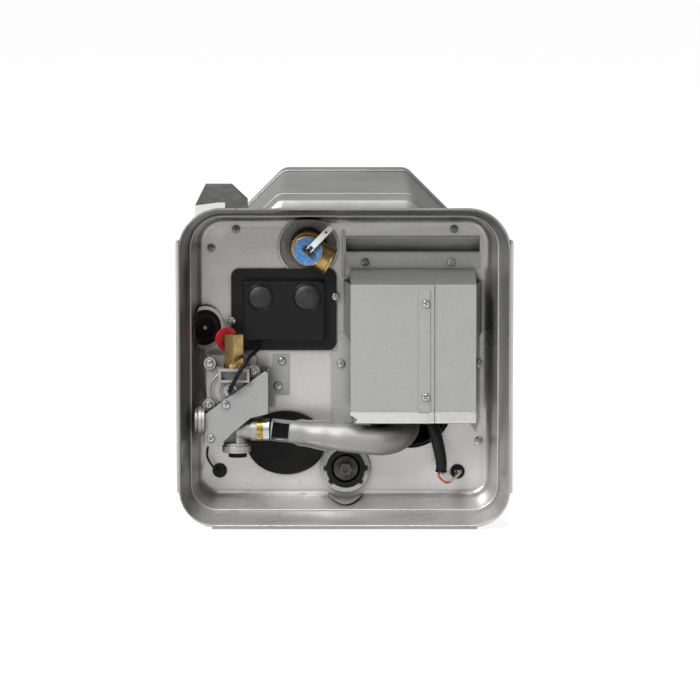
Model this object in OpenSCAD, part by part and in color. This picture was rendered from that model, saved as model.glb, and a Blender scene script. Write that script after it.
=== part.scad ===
// Gas storage water heater for a caravan, seen from outside with its access door taken off.
// Fittings are placed from the middle of the back panel: x to the right, y into the wall, z up.

/* [Front pan] */
// Width of the pan over its rim
pan_w = 322; // [320:1:330]
// Height of the pan over its rim
pan_h = 311; // [309:1:318]
// Depth from the rim to the front of the back panel
pan_depth = 86; // [84:1:96]
// Thickness of the pan and bracket sheet
sheet_t = 1.2; // [1:0.1:1.4]
// Outer radius of the rim's upper corners
pan_top_r = 42; // [38:1:46]
// Outer radius of the rim's lower corners
pan_low_r = 36; // [34:1:44]
// Depth of the sloping lip in front of the pressed step
lip_depth = 36; // [30:1:40]
// How far the lip slopes inward
lip_slope = 7; // [5:0.5:8]
// Inward width of the pressed step behind the lip
step_w = 2.5; // [1.5:0.5:3]
// Draft angle of the wall behind the step
wall_draft = 8.5; // [7:0.5:10]
// Inside radius where the wall meets the back panel
pan_fillet_r = 7; // [5:0.5:8]
// Thickness of the folded mounting flanges
flange_t = 2.4; // [2:0.2:2.4]
// Depth of the mounting flanges behind the rim
flange_d = 34; // [26:1:40]
// Length of the side flanges
side_flange_len = 244; // [200:2:250]
// Length of the bottom flange
low_flange_len = 258; // [200:2:262]
// Radius of the wall screw holes in the flanges
flange_hole_r = 2.6; // [2:0.1:3.2]
// Spacing of the two wall screw holes in each flange
flange_hole_gap = 160; // [120:5:180]

/* [Jacket and tank] */
// Width of the eight-sided jacket
jacket_w = 318; // [312:1:322]
// Height of the eight-sided jacket
jacket_h = 316; // [316:1:324]
// Depth of the jacket behind the back panel
jacket_d = 394; // [390:1:430]
// Width cut from each corner of the jacket
jacket_cut = 93; // [88:1:98]
// Radius on the jacket's long edges
jacket_edge_r = 14; // [10:1:18]
// Skirt length of the front and rear caps
cap_skirt = 54; // [46:1:60]
// How far the wrapper slides into each cap
cap_lap = 12; // [8:1:20]
// Rounding of the caps' end edges
cap_round = 9; // [6:1:12]
// Outer radius of the tank
tank_r = 140; // [136:1:142]
// Thickness of the tank steel
tank_t = 2; // [1.6:0.1:2.4]
// Gap between the back panel and the tank's front head
tank_gap = 20; // [19:0.5:23]
// Gap between the tank's rear head and the jacket's rear
tank_rear_gap = 16; // [12:1:20]
// Outer radius of the flue tube
flue_r = 42; // [38:1:43]
// Rise from the burner leg of the flue to its exhaust leg
flue_rise = 96; // [94:1:104]
// Sideways place of the flue
flue_x = 64; // [60:1:68]
// Height of the burner leg
burner_leg_z = -47; // [-49:1:-46]
// Bore radius of the water fittings
water_bore_r = 9.3; // [8.5:0.1:9.8]
// Outer radius of the water fittings
water_fit_r = 14; // [12.5:0.5:16]
// How far the water fittings stand out behind
water_reach = 8; // [4:1:14]

/* [Relief valve] */
// Sideways place of the relief valve
relief_x = -36; // [-38:0.5:-35]
// Height of the relief valve
relief_z = 110; // [106:0.5:111]
// Radius of the well around the valve
well_r = 28; // [26:0.5:29]
// Radius of the valve body
relief_r = 14.2; // [14.1:0.1:15]
// How far the valve's cap stands in front of the back panel
relief_reach = 41; // [36:1:48]
// Radius of the label disc
label_r = 13.9; // [12:0.1:14]
// Angle of the discharge outlet below level
outlet_angle = 30; // [25:1:36]
// Outer radius of the discharge outlet
outlet_r = 14; // [13.5:0.25:15]
// Bore radius of the discharge outlet
outlet_bore_r = 11.8; // [10.5:0.1:12.2]
// Length of the test lever from its pin
lever_len = 34; // [30:1:36]
// Width of the test lever
lever_w = 6; // [5.6:0.2:7]
// Angle of the lever above level
lever_angle = 46; // [40:1:52]
// Radius of the lever's pin
lever_pin_r = 1; // [0.8:0.05:1.15]
// Lift of the stem when the lever is raised
stem_lift = 3; // [2:0.25:3.5]

/* [Thermostat] */
// Width of the rubber cover
cover_w = 104; // [98:1:105]
// Height of the rubber cover
cover_h = 81; // [76:1:84]
// Sideways place of the cover
cover_x = -60; // [-61:0.5:-59]
// Height of the cover's middle
cover_z = 48; // [47:0.5:49]
// Thickness of the cover's edge
cover_edge = 3; // [2.5:0.25:4]
// Width of the raised box on the cover
raised_w = 80; // [78:1:84]
// Height of the raised box on the cover
raised_h = 58; // [54:1:60]
// How far the raised box stands in front of the back panel
raised_d = 13; // [12:0.5:16]
// Wall of the raised box
raised_wall = 2; // [1.6:0.1:2.4]
// Radius of the thermostat reset dome
dome_r = 11; // [10:0.25:12]
// Radius of the high limit reset dome
limit_dome_r = 12; // [11:0.25:13]
// Distance from the cover's middle to each dome
dome_gap = 23; // [21:0.5:24]
// Height of the domes above the cover's middle
dome_up = 13; // [11:0.5:13]
// Travel of the reset domes
dome_travel = 3; // [2:0.25:3.5]
// Radius of the switch bodies
switch_r = 13; // [12:0.5:14]

/* [Gas train] */
// Distance of the gas valve's inlet from the pan's left side
inlet_x = 53; // [52:0.5:54]
// Distance of the gas train in front of the back panel
gas_off = 41; // [41:0.5:45]
// Width across the flats of the brass inlet
inlet_flats = 18; // [17:0.5:19]
// Height of the brass inlet
inlet_h = 33; // [30:1:36]
// Bore radius of the gas port under the transit cap
inlet_bore_r = 3.5; // [3:0.1:4.5]
// Outer radius of the gas port
inlet_port_r = 6.5; // [6:0.1:7.5]
// Radius of the red transit cap
transit_r = 11.8; // [11.5:0.1:13]
// Height of the burner's inlet
burner_z = -66; // [-67:0.5:-65]
// Radius of the outlet nozzle
nozzle_r = 11; // [10.5:0.25:11.5]
// Radius of the burner tube's narrow end
tube_in_r = 11; // [10.5:0.25:11.5]
// Radius of the burner tube's wide end
tube_out_r = 14.3; // [13.5:0.1:15]
// Wall of the burner tube
tube_wall = 1; // [0.8:0.1:1.2]
// Fall of the burner tube towards the burner
tube_fall = 6.3; // [5.5:0.1:7]
// Length of the burner tube before its bend
tube_run = 104; // [100:1:106]
// Middle radius of the burner tube's bend
tube_bend_r = 28; // [26:0.5:30]
// Length of the burner tube behind its bend
tube_tail = 30; // [26:1:32]
// Rise of the burner tube's end
tube_rise = 35; // [32:1:36]
// Width of the air window
air_window_w = 16; // [12:1:16]
// Radius of the gas valve's solenoid plunger
plunger_r = 4; // [3:0.1:4.5]
// Travel of the plunger
plunger_travel = 2; // [1:0.25:2.5]

/* [Burner box] */
// Left side of the burner box
box_left = 6; // [4:0.5:8]
// Distance of the burner box from the pan's right side
box_right = 32.5; // [31:0.5:35]
// Top of the box's front
box_top = 77; // [74:0.5:80]
// Crease at the bottom of the box's front
box_low = -47; // [-49:0.5:-45]
// Depth of the box in front of the back panel
box_d = 56; // [54:0.5:60]
// Rise of the box's sloping top
box_roof_rise = 12; // [10:0.5:14]
// Height of the box's bent lower lip
box_lip = 10; // [8:0.5:11]
// Width of the overlap of the two covers
box_lap = 16; // [14:0.5:18]
// Width of the left foot on the back panel
box_foot_w = 19; // [17:0.5:20]
// Height of the sides below their vents
box_side_h = 72; // [66:1:80]
// Height of the exhaust slot
slot_h = 14; // [11:0.5:14]
// Width of the exhaust slot beyond that of the box
slot_w = 9.5; // [3.5:0.5:9.5]

/* [Drain and element] */
// Sideways place of the drain
drain_x = 1; // [0:0.25:2]
// Height of the drain
drain_z = -110; // [-111:0.25:-109]
// Radius of the pressed recess around the drain
recess_r = 30; // [28:0.5:31]
// Outer radius of the drain collar
collar_r = 25; // [23:0.5:26]
// Radius of the drain plug's head
plug_r = 14; // [13:0.25:15]
// Travel that frees the plug's thread
plug_travel = 25; // [20:1:30]
// Radius of the anode rod
anode_r = 8; // [7:0.25:9]
// Length of the anode rod
anode_len = 230; // [180:5:260]
// Width of the element's cover
oval_w = 78; // [72:1:80]
// Height of the element's cover
oval_h = 63; // [58:1:64]

/* [Fasteners] */
// Radius of the sheet metal screws
screw_r = 1.7; // [1.4:0.1:2]
// Radius of the screw heads
screw_head_r = 3.9; // [3.4:0.1:4.4]
// Height of the screw heads
screw_head_h = 2.6; // [2:0.1:3]

/* [Hidden] */
$fn = 48;
// Clearance of a running fit, of a seated piece and of a loose piece
run_gap = 0.06;
seat_gap = 0.1;
free_gap = 0.3;
// Overlap that joins two shapes of one solid, and overshoot of a cut
join = 0.5;
over = 1;
arc_steps = 6;

mid_z = jacket_h / 2;
panel_back = sheet_t;
jacket_rear = panel_back + jacket_d;
overall_d = pan_depth + jacket_rear + water_reach;
rim_half_w = pan_w / 2;
usual_w = 322;
rim_half_h = pan_h / 2;
gas_x = inlet_x - rim_half_w;
box_end = rim_half_w - box_right;
slot_span = box_end - box_left + slot_w;
hem_d = 6;
step_d = 3;

// Where the flat of the back panel starts, measured inward from the rim
wall_s = sheet_t + lip_slope + step_w;
wall_y = lip_depth + step_d;
fillet_y = pan_depth - pan_fillet_r;
flat_s = wall_s + (fillet_y + pan_fillet_r * sin(wall_draft) - wall_y) * tan(wall_draft)
    + pan_fillet_r * cos(wall_draft);
flat_half_w = rim_half_w - flat_s;
flat_half_h = rim_half_h - flat_s;

// Screws that stand on the back panel, as x and z
screw_edge = flat_s + screw_head_r + 0.3;
pan_screw_at = [
    [54 - rim_half_w, rim_half_h - screw_edge], [screw_edge + 1.5 - rim_half_w, rim_half_h - 46.5],
    [rim_half_w - 53, rim_half_h - screw_edge], [rim_half_w - screw_edge, 72.5 - rim_half_h]
];
cover_screw_at = [
    [cover_x + cover_w / 2 - 1, cover_z + 13],
    [cover_x - cover_w / 2 + 1, cover_z - 11]
];
element_z = -85;
foot_x = gas_x + 37;
foot_w = 16;
foot_high = 3;
foot_low = foot_high - 40;
bracket_screw_at = [[foot_x + 9, foot_high - 6], [foot_x + 5, foot_high - 31]];
box_foot_screw_at = [
    [box_left - box_foot_w / 2, box_low + 41],
    [box_end + screw_head_r + seat_gap, box_low + 41]
];
top_plate_low = box_top + box_roof_rise + seat_gap;
top_plate_h = 15;
slot_low = top_plate_low + top_plate_h + 1;
slot_x = (box_left + box_end) / 2;
top_screw_at = [[slot_x - 47, top_plate_low + 6], [slot_x + 38, top_plate_low + 6]];

// Relief valve levels along y, from the back panel
relief_at = [relief_x, relief_z];
tank_front = tank_gap;
tank_rear = jacket_rear - tank_rear_gap;
cap_front = -relief_reach;
label_t = 0.8;
pin_y = cap_front - label_t - 2.6;
stem_r = 1.6;
cheek_in = stem_r + 0.4;
cheek_out = lever_w / 2;
ear_in = cheek_out + free_gap;
ear_out = ear_in + 1.4;
lever_heel_r = 2.1;
lever_fork = 6.5;
lever_t = 1.4;
spud_r = 17;
spud_len = 12;
relief_thread_r = 12;
spring_r = 6;
spring_wire_r = 0.8;
spring_turns = 6;
spring_y = cap_front + 4 + seat_gap;
spring_len = 26;
probe_len = 100;
probe_r = 4.5;

// Thermostat levels along y
raised_front = -raised_d;
dome_flange = 1.5;
dome_at = [cover_x - dome_gap, cover_z + dome_up];
limit_at = [cover_x + dome_gap, cover_z + dome_up];
switch_front = raised_front + 7.5;
dome_pin_r = 3;
switch_base_r = switch_r + 3;
switch_base_t = 6;
window_w = 2 * dome_gap + 2 * switch_base_r + 4;
window_h = 2 * switch_base_r + 2;

// Gas train places
gas_y = -gas_off;
valve_left = gas_x - 31;
valve_right = gas_x + 21;
valve_front = gas_y - 6;
valve_back = gas_y + 22;
bracket_y = gas_y - 12.5;
ledge_z = -4;
valve_low = -79;
ledge_low = ledge_z - 13.5;
ledge_half_w = 15;
ledge_front = gas_y - 18;
inlet_y = gas_y - 5;
elbow_x = gas_x + 2;
nozzle_left = elbow_x + 14;
nozzle_end = elbow_x + 20;
orifice_w = 6;
lock_w = 6;
tube_start = nozzle_end + orifice_w + lock_w;
plunger_x = gas_x - 16;
plunger_z = -52;
plunger_y = gas_y + 8;
regulator_r = 13.4;
regulator_x = valve_left - 1;
regulator_y = gas_y - 5;
regulator_z = -57;
bracket_screw_x = gas_x - 8;
bracket_screw_z = -40;
hub_r = 6;
port_z = ledge_z + inlet_h - 6.5;
port_len = 20.5;
port_turn = 33;

// Flue and burner places. The gas train hangs on the left wall and the flue on the tank, so the burner
// tube takes up what the pan gains or loses in width.
tube_reach = tube_run + (pan_w - usual_w) / 2;
burner_end_x = tube_start + nozzle_r * sin(tube_fall) + (tube_reach + tube_bend_r) * cos(tube_fall);
flue_at = [flue_x, burner_leg_z];
exhaust_at = [flue_x, burner_leg_z + flue_rise];
port_r = flue_r + 1.5;
flue_wall = 2;
collector_back = tank_front - 4;
collector_low = exhaust_at[1] - flue_r - 6;
collector_half_w = slot_span / 2 + 3;
lap_mid = box_end - 49;
lap_left = lap_mid - box_lap / 2;
lap_right = lap_mid + box_lap / 2;

// Drain and element places
drain_at = [drain_x, drain_z];
element_at = [cover_x + 2, element_z];
plug_front = -8;
plug_back = -1;
plug_shank_r = 10;
seal_r = plug_r + 4.5;
hot_at = [-52, 82];
cold_at = [30, -105];

// Holes for the wires in the back panel
lead_hole_at = [rim_half_w - 49, 41.5 - rim_half_h];
wire_hole_at = [37 - rim_half_w, 42.5 - rim_half_h];
wire_hole_r = 6;
grommet_lip = wire_hole_r + 1.2;

// Gas line grommet on the turned face of the left wall
grommet_x = 23 - rim_half_w;
grommet_y = -10;
grommet_z = 31 + (pan_w - usual_w) / 2;
grommet_r = 15.2;
grommet_turn = 28;
grommet_cup_r = grommet_r + 5;
grommet_face = 2.5;

// Routes of the wires, as x, y and z
electrode_x = burner_end_x + 27.6;
electrode_len = 30;
electrode_r = 4;
spark_len = 40;
spark_r = 1.2;
lead_x = lead_hole_at[0];
boot_end_x = lead_x - 17;
boot_mid_x = (electrode_x + boot_end_x + 1) / 2;
boot_route = [[electrode_x, -26, -57], [electrode_x, -30, -57], [electrode_x + 1, -35, -64],
    [boot_mid_x, -36, -78],
    [boot_end_x, -36, -98], [boot_end_x, -36, -109]];
boot_r = [8, 7.6, 6.8, 6.4, 6, 5.5];
orange_route = [[lead_x - 19, -36, -109.5], [lead_x - 19, -36, -114], [lead_x - 13, -31, -120],
    [lead_x - 8, -22, -121], [lead_x - 3, -12, -118], [lead_x - 1, -6, -115], [lead_x - 1, 4, -114]];
white_route = [[lead_x - 15, -36, -109.5], [lead_x - 15, -36, -113], [lead_x - 9, -30, -118],
    [lead_x - 4, -21, -118], [lead_x, -12, -116], [lead_x + 2.5, -6, -114], [lead_x + 2.5, 4, -114]];
wire_r = 1.3;
ground_route = [[gas_x - 26, -45, -83], [gas_x - 27, -42, -88], [gas_x - 27, -32, -95],
    [gas_x - 24, -19, -104],
    [gas_x - 19, -9, -111], [gas_x - 16, -3, -113], [gas_x - 16, 4, -113]];
ground_r = 1.1;
valve_lead_route = [[gas_x - 4, -45.3, -27], [gas_x - 4, -54, -27], [gas_x - 2, -62, -21],
    [gas_x + 3, -65, -11],
    [gas_x + 9, -65, -1], [gas_x + 15, -55, 7], [gas_x + 20, -38, 10], [gas_x + 23, -20, 11],
        [gas_x + 24, -10, 13],
    [gas_x + 24, -8, 16], [gas_x + 24, -8, 18.7]];
valve_lead_r = 2;

// Moves a shape from the middle of the back panel to the part's own frame.
module placed() {
    translate([0, pan_depth - overall_d / 2, mid_z]) children();
}

// Plate cut from a shape drawn in x and z, from depth y over thickness h.
module slab(y, h) {
    translate([0, y + h, 0]) rotate([90, 0, 0]) linear_extrude(h) children();
}

// Round bar along y at a place given as x and z.
module bar(at, y, h, r) {
    translate([at[0], y, at[1]]) rotate([-90, 0, 0]) cylinder(h = h, r = r);
}

// Shape turned about an axis along y, from a profile of radius and depth.
module turned(at, profile) {
    translate([at[0], 0, at[1]]) rotate([-90, 0, 0]) rotate_extrude() polygon(profile);
}

// Ring along y.
module ring(at, y, h, r_out, r_in) {
    difference() {
        bar(at, y, h, r_out);
        bar(at, y - over, h + 2 * over, r_in);
    }
}

// Box between two corners.
module block(low, high) {
    translate(low) cube(high - low);
}

// Points of an arc that runs from the wall's draft angle to the panel.
function arc(c, r, a0, a1) =
    [for (i = [0 : arc_steps]) let (a = a0 + (a1 - a0) * i / arc_steps) [c[0] - r * cos(a),
        c[1] + r * sin(a)]];

function turn_back(list) = [for (i = [len(list) - 1 : -1 : 0]) list[i]];

// Rounded rectangle of half sizes w and h with upper and lower corner radii.
function rounded(w, h, top_r, low_r) = [
    for (k = [0 : 3]) let (r = k < 2 ? top_r : low_r, sx = (k == 0 || k == 3) ? 1 : -1,
        sz = k < 2 ? 1 : -1)
        for (i = [0 : arc_steps]) let (a = 90 * k + 90 * i / arc_steps)
            [sx * (w - r) + r * cos(a), sz * (h - r) + r * sin(a)]
];

// Eight-sided outline with rounded corners, set in by a margin.
function octagon(margin) =
    let (
        w = jacket_w / 2 - margin,
        h = jacket_h / 2 - margin,
        cut = jacket_cut - margin * (2 - sqrt(2)),
        r = max(jacket_edge_r - margin, 1),
        e = r * (1 - sqrt(2)),
        far = [w - r, h - cut + e],
        near = [w - cut + e, h - r],
        middles = [far, near, [-near[0], near[1]], [-far[0], far[1]],
            [-far[0], -far[1]], [-near[0], -near[1]], [near[0], -near[1]], [far[0], -far[1]]]
    )
    [for (k = [0 : 7]) for (i = [0 : 4]) let (a = 45 * (k + i / 4)) middles[k] + r * [cos(a), sin(a)]];

// Smooth curve through a route's points.
function curve_point(p, i, t) =
    let (
        last = len(p) - 1,
        a = p[max(i - 1, 0)],
        b = p[i],
        c = p[min(i + 1, last)],
        d = p[min(i + 2, last)]
    )
    0.5 * (2 * b + (c - a) * t + (2 * a - 5 * b + 4 * c - d) * t * t + (3 * b - a - 3 * c + d)
        * t * t * t);
function curve(p, steps) = [
    for (i = [0 : len(p) - 2]) for (k = [0 : steps - 1]) curve_point(p, i, k / steps),
    p[len(p) - 1]
];
function unit(v) = v / norm(v);
function heading(p, i) = unit(p[min(i + 1, len(p) - 1)] - p[max(i - 1, 0)]);

// One tube swept along points, with a radius for each point.
module swept(p, radii, sides, up) {
    rings = len(p);
    points = [
        for (i = [0 : rings - 1]) let (t = heading(p, i), u = unit(cross(up, t)), v = cross(t, u))
            for (k = [0 : sides - 1]) let (a = 360 * k / sides) p[i] + radii[i] * (cos(a)
                * u + sin(a) * v)
    ];
    walls = [
        for (i = [0 : rings - 2]) for (k = [0 : sides - 1]) let (n = (k + 1) % sides)
            each [
                [i * sides + k, (i + 1) * sides + k, i * sides + n],
                [i * sides + n, (i + 1) * sides + k, (i + 1) * sides + n]
            ]
    ];
    start = [for (k = [1 : sides - 2]) [0, k, k + 1]];
    end = [for (k = [1 : sides - 2]) let (b = (rings - 1) * sides) [b, b + k + 1, b + k]];
    polyhedron(points, concat(walls, start, end));
}

module lead(route, r, up = [1, 0, 0]) {
    path = curve(route, 2);
    swept(path, [for (p = path) r], 8, up);
}

// Pan head screw that stands on a face at depth y and looks towards -y.
module screw(at, y, shank) {
    turned([at[0], at[1]], [
        [0, y - screw_head_h], [screw_head_r * 0.6, y - screw_head_h], [screw_head_r * 0.92,
            y - screw_head_h * 0.6],
        [screw_head_r, y], [screw_r, y], [screw_r, y + shank], [0, y + shank]
    ]);
}

module screw_holes(places) {
    for (at = places) bar(at, -over - 3, 2 * over + 8, screw_r + seat_gap);
}

// Sheet profile of the pan's wall, as inward distance from the rim and depth behind the rim.
wall_inside = concat(
    [[sheet_t, 0], [sheet_t, hem_d], [sheet_t + lip_slope, lip_depth], [wall_s, wall_y]],
    arc([flat_s, fillet_y], pan_fillet_r, wall_draft, 90),
    [[flat_s + join, pan_depth]]
);
wall_outside = concat(
    [[0, 0], [0, hem_d], [lip_slope, lip_depth], [wall_s - sheet_t, wall_y]],
    arc([flat_s, fillet_y], pan_fillet_r + sheet_t, wall_draft, 90),
    [[flat_s + join, pan_depth + sheet_t]]
);
wall_profile = concat(wall_inside, turn_back(wall_outside));

// Straight stretch of the wall along z on the right, and along x at the bottom.
module wall_upright(low, high) {
    translate([0, 0, low]) linear_extrude(high - low)
        polygon([for (p = wall_profile) [rim_half_w - p[0], p[1] - pan_depth]]);
}
module wall_level(half_len) {
    translate([-half_len, 0, 0]) rotate([90, 0, 90]) linear_extrude(2 * half_len)
        polygon([for (p = wall_profile) [p[1] - pan_depth, p[0] - rim_half_h]]);
}
module wall_corner(r, start) {
    rotate([-90, 0, 0]) rotate([0, 0, start]) rotate_extrude(angle = 90)
        polygon([for (p = wall_profile) [r - p[0], p[1] - pan_depth]]);
}
module pan_walls() {
    for (side = [0, 1]) mirror([side, 0, 0]) {
        wall_upright(pan_low_r - rim_half_h, rim_half_h - pan_top_r);
        translate([rim_half_w - pan_top_r, 0, rim_half_h - pan_top_r]) wall_corner(pan_top_r, -90);
        translate([rim_half_w - pan_low_r, 0, pan_low_r - rim_half_h]) wall_corner(pan_low_r, 0);
    }
    wall_level(rim_half_w - pan_low_r);
    mirror([0, 0, 1]) wall_level(rim_half_w - pan_top_r);
}

// Pressed cup that carries a round recess out into the sloping wall below it.
module scoop_cup(at, r) {
    reach = rim_half_h - wall_s;
    intersection() {
        bar(at, -pan_depth / 2, pan_depth / 2 + sheet_t, r + sheet_t);
        translate([-rim_half_w, 0, 1.5 - flat_half_h - pan_fillet_r * 0.8])
            rotate([wall_draft, 0, 0]) translate([0, -pan_depth, -reach]) cube([pan_w,
                2 * pan_depth, reach]);
    }
    bar(at, 0, sheet_t, r + sheet_t);
}

// Turned face for the gas line, pressed out of the left wall. Its own z looks out of the pan.
module on_grommet() {
    translate([grommet_x, grommet_y, grommet_z]) rotate([90, 0, grommet_turn]) children();
}
module grommet_cup() {
    r = grommet_cup_r + sheet_t;
    on_grommet() translate([0, 0, -grommet_face]) cylinder(h = grommet_face, r = r);
    intersection() {
        on_grommet() translate([0, 0, -grommet_face]) cylinder(h = 40, r = r);
        translate([1.5 - flat_half_w - pan_fillet_r * 0.8, 0, 0]) rotate([0, 0, -wall_draft])
            block([-pan_w, -pan_depth, -pan_h], [0, pan_depth, pan_h]);
    }
}

module front_pan() color("silver") placed() {
    difference() {
        union() {
            pan_walls();
            slab(0, sheet_t) polygon(rounded(flat_half_w, flat_half_h, pan_top_r - flat_s,
                pan_low_r - flat_s));
            scoop_cup(drain_at, recess_r);
            mirror([0, 0, 1]) scoop_cup([relief_x, -relief_z], well_r);
            grommet_cup();
        }
        bar(drain_at, -pan_depth / 2, pan_depth / 2, recess_r);
        bar(relief_at, -pan_depth / 2, pan_depth, well_r);
        bar(drain_at, -over, 2 * over + sheet_t, plug_shank_r + 3);
        bar(flue_at, -over, 2 * over + sheet_t, port_r);
        bar(element_at, -over, 2 * over + sheet_t, spud_r + 6);
        for (at = [lead_hole_at, wire_hole_at]) bar(at, -over, 2 * over + sheet_t, wire_hole_r);
        slab(-over, 2 * over + sheet_t) translate([cover_x - window_w / 2, dome_at[1] - window_h / 2])
            square([window_w, window_h]);
        slab(-over, 2 * over + sheet_t) translate([slot_x - slot_span / 2, slot_low])
            square([slot_span, slot_h]);
        on_grommet() cylinder(h = 30, r = grommet_cup_r);
        on_grommet() translate([0, 0, -over - grommet_face]) cylinder(h = 30, r = grommet_r);
        screw_holes(concat(pan_screw_at, cover_screw_at, bracket_screw_at, box_foot_screw_at,
            top_screw_at));
    }
}

// Folded flange that runs back from the rim, with its two wall screw holes.
module flange(len) {
    difference() {
        block([-len / 2, -pan_depth, -flange_t], [len / 2, flange_d - pan_depth, 0]);
        for (side = [-1, 1]) translate([side * flange_hole_gap / 2, flange_d * 0.6 - pan_depth,
            -flange_t - over])
            cylinder(h = flange_t + 2 * over, r = flange_hole_r);
    }
}
module mounting_flanges() color("lightgray") placed() {
    translate([0, 0, -rim_half_h]) flange(low_flange_len);
    for (side = [0, 1]) mirror([side, 0, 0]) translate([rim_half_w, 0, 0]) rotate([0, -90, 0])
        flange(side_flange_len);
}

// Solid end of a cap with its edge rounded back over a few steps.
module cap_solid(margin, near, far, rounding) {
    hull() {
        slab(near, join) polygon(octagon(margin + rounding));
        slab(near + rounding * 0.3, join) polygon(octagon(margin + rounding * 0.3));
        slab(near + rounding, far - near - rounding) polygon(octagon(margin));
    }
}
flange_ring = jacket_h / 2 - flat_half_h + 12;
module jacket_front_cap() color("gainsboro") placed() {
    y = panel_back;
    difference() {
        cap_solid(0, y, y + cap_skirt, cap_round);
        cap_solid(sheet_t, y + sheet_t, y + cap_skirt + over, cap_round);
        slab(y - over, sheet_t + 2 * over) polygon(octagon(flange_ring));
        bar(relief_at, y - over, sheet_t + 2 * over, well_r + sheet_t + over);
        bar(flue_at, y - over, sheet_t + 2 * over, port_r + over);
        bar(drain_at, y - over, sheet_t + 2 * over, plug_shank_r + 4);
        bar([grommet_x, grommet_z], y - over, sheet_t + 2 * over, grommet_cup_r + 6);
        for (at = [lead_hole_at, wire_hole_at]) bar(at, y - over, 6, grommet_lip + free_gap);
        block([slot_x - collector_half_w - free_gap, y - over, 0],
            [slot_x + collector_half_w + free_gap, collector_back + free_gap, slot_low + slot_h + 5]);
        screw_holes(concat(pan_screw_at, cover_screw_at, bracket_screw_at, box_foot_screw_at,
            top_screw_at));
    }
}
module jacket_wrapper() color("gainsboro") placed() {
    margin = sheet_t + seat_gap;
    near = panel_back + cap_skirt - cap_lap;
    slab(near, jacket_d - 2 * (cap_skirt - cap_lap)) difference() {
        polygon(octagon(margin));
        polygon(octagon(margin + sheet_t));
    }
}
module jacket_rear_cap() color("gainsboro") placed() {
    difference() {
        translate([0, jacket_rear, 0]) mirror([0, 1, 0]) difference() {
            cap_solid(0, 0, cap_skirt, cap_round);
            cap_solid(sheet_t, sheet_t, cap_skirt + over, cap_round);
        }
        for (at = [hot_at, cold_at]) bar(at, jacket_rear - 2 * sheet_t, 4 * sheet_t,
            water_fit_r + free_gap);
    }
}

// Half of the fibre blanket that fills the space between the tank and the jacket.
module blanket_half() {
    near = tank_front + 2;
    far = jacket_rear - sheet_t - cap_round - free_gap;
    margin = 2 * sheet_t + seat_gap + free_gap;
    difference() {
        intersection() {
            slab(near, far - near) polygon(octagon(margin + 1));
            block([-jacket_w, near - over, free_gap / 2], [jacket_w, far + over, jacket_h]);
        }
        bar([0, 0], near - over, tank_rear - near + over + free_gap, tank_r + free_gap);
        for (at = [hot_at, cold_at]) for (s = [1, -1])
            bar([at[0], s * at[1]], tank_rear - over, tank_rear_gap + 2 * over, water_fit_r + free_gap);
    }
}
module insulation_upper() color("khaki") placed() blanket_half();
module insulation_lower() color("khaki") placed() mirror([0, 0, 1]) blanket_half();

module tank_shell() color("dimgray") placed() {
    difference() {
        bar([0, 0], tank_front, tank_rear - tank_front, tank_r);
        bar([0, 0], tank_front + tank_t, tank_rear - tank_front - 2 * tank_t, tank_r - tank_t);
        for (at = [relief_at, drain_at, element_at]) bar(at, tank_front - over, tank_t + 2 * over,
            spud_r + seat_gap);
        for (at = [flue_at, exhaust_at]) bar(at, tank_front - over, tank_t + 2 * over, flue_r + seat_gap);
        for (at = [hot_at, cold_at]) bar(at, tank_rear - tank_t - over, tank_t + 2 * over,
            water_fit_r + seat_gap);
    }
}
module tank_spuds() color("gray") placed() {
    ring(relief_at, tank_front - 4, spud_len, spud_r, relief_thread_r + seat_gap);
    ring(drain_at, tank_front - 4, spud_len, spud_r, plug_shank_r + seat_gap);
    ring(element_at, tank_front - 4, spud_len, spud_r, relief_thread_r + seat_gap);
}
module water_fittings() color("gray") placed() {
    near = tank_rear - 6;
    for (at = [hot_at, cold_at]) ring(at, near, jacket_rear + water_reach - near, water_fit_r,
        water_bore_r);
}
module cold_dip_tube() color("white") placed() {
    wall = 1.5;
    len = 120;
    ring(cold_at, tank_rear - 6 - len, len, water_bore_r + wall, water_bore_r - 0.5);
}
module flue_tube() color("darkgray") placed() {
    rear = tank_rear - flue_rise / 2 - flue_r - 12;
    bore = flue_r - flue_wall;
    ring(flue_at, panel_back, rear - panel_back, flue_r, bore);
    ring(exhaust_at, collector_back + sheet_t, rear - collector_back - sheet_t, flue_r, bore);
    translate([flue_x, rear, burner_leg_z + flue_rise / 2]) rotate([90, 0, 90])
        rotate([0, 0, -90]) rotate_extrude(angle = 180) translate([flue_rise / 2, 0]) difference() {
            circle(r = flue_r);
            circle(r = bore);
        }
}

// Shallow duct that leads the exhaust leg up to the slot, with its roof sloped to throw the gas forward.
module flue_collector() color("silver") placed() {
    front = panel_back;
    roof_low = slot_low;
    roof_high = slot_low + slot_h + 2;
    roof = [[front, roof_high], [collector_back, roof_low], [collector_back, collector_low],
        [front, collector_low]];
    t = sheet_t;
    inside = [[front - over, roof_high - t], [front, roof_high - t], [collector_back - t, roof_low - t],
        [collector_back - t, collector_low + t], [front - over, collector_low + t]];
    difference() {
        translate([slot_x - collector_half_w, 0, 0]) rotate([90, 0, 90])
            linear_extrude(2 * collector_half_w) polygon(roof);
        translate([slot_x - collector_half_w + t, 0, 0]) rotate([90, 0, 90])
            linear_extrude(2 * (collector_half_w - t)) polygon(inside);
        bar(exhaust_at, collector_back - 2 * t, 4 * t, flue_r - flue_wall);
    }
}

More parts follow.
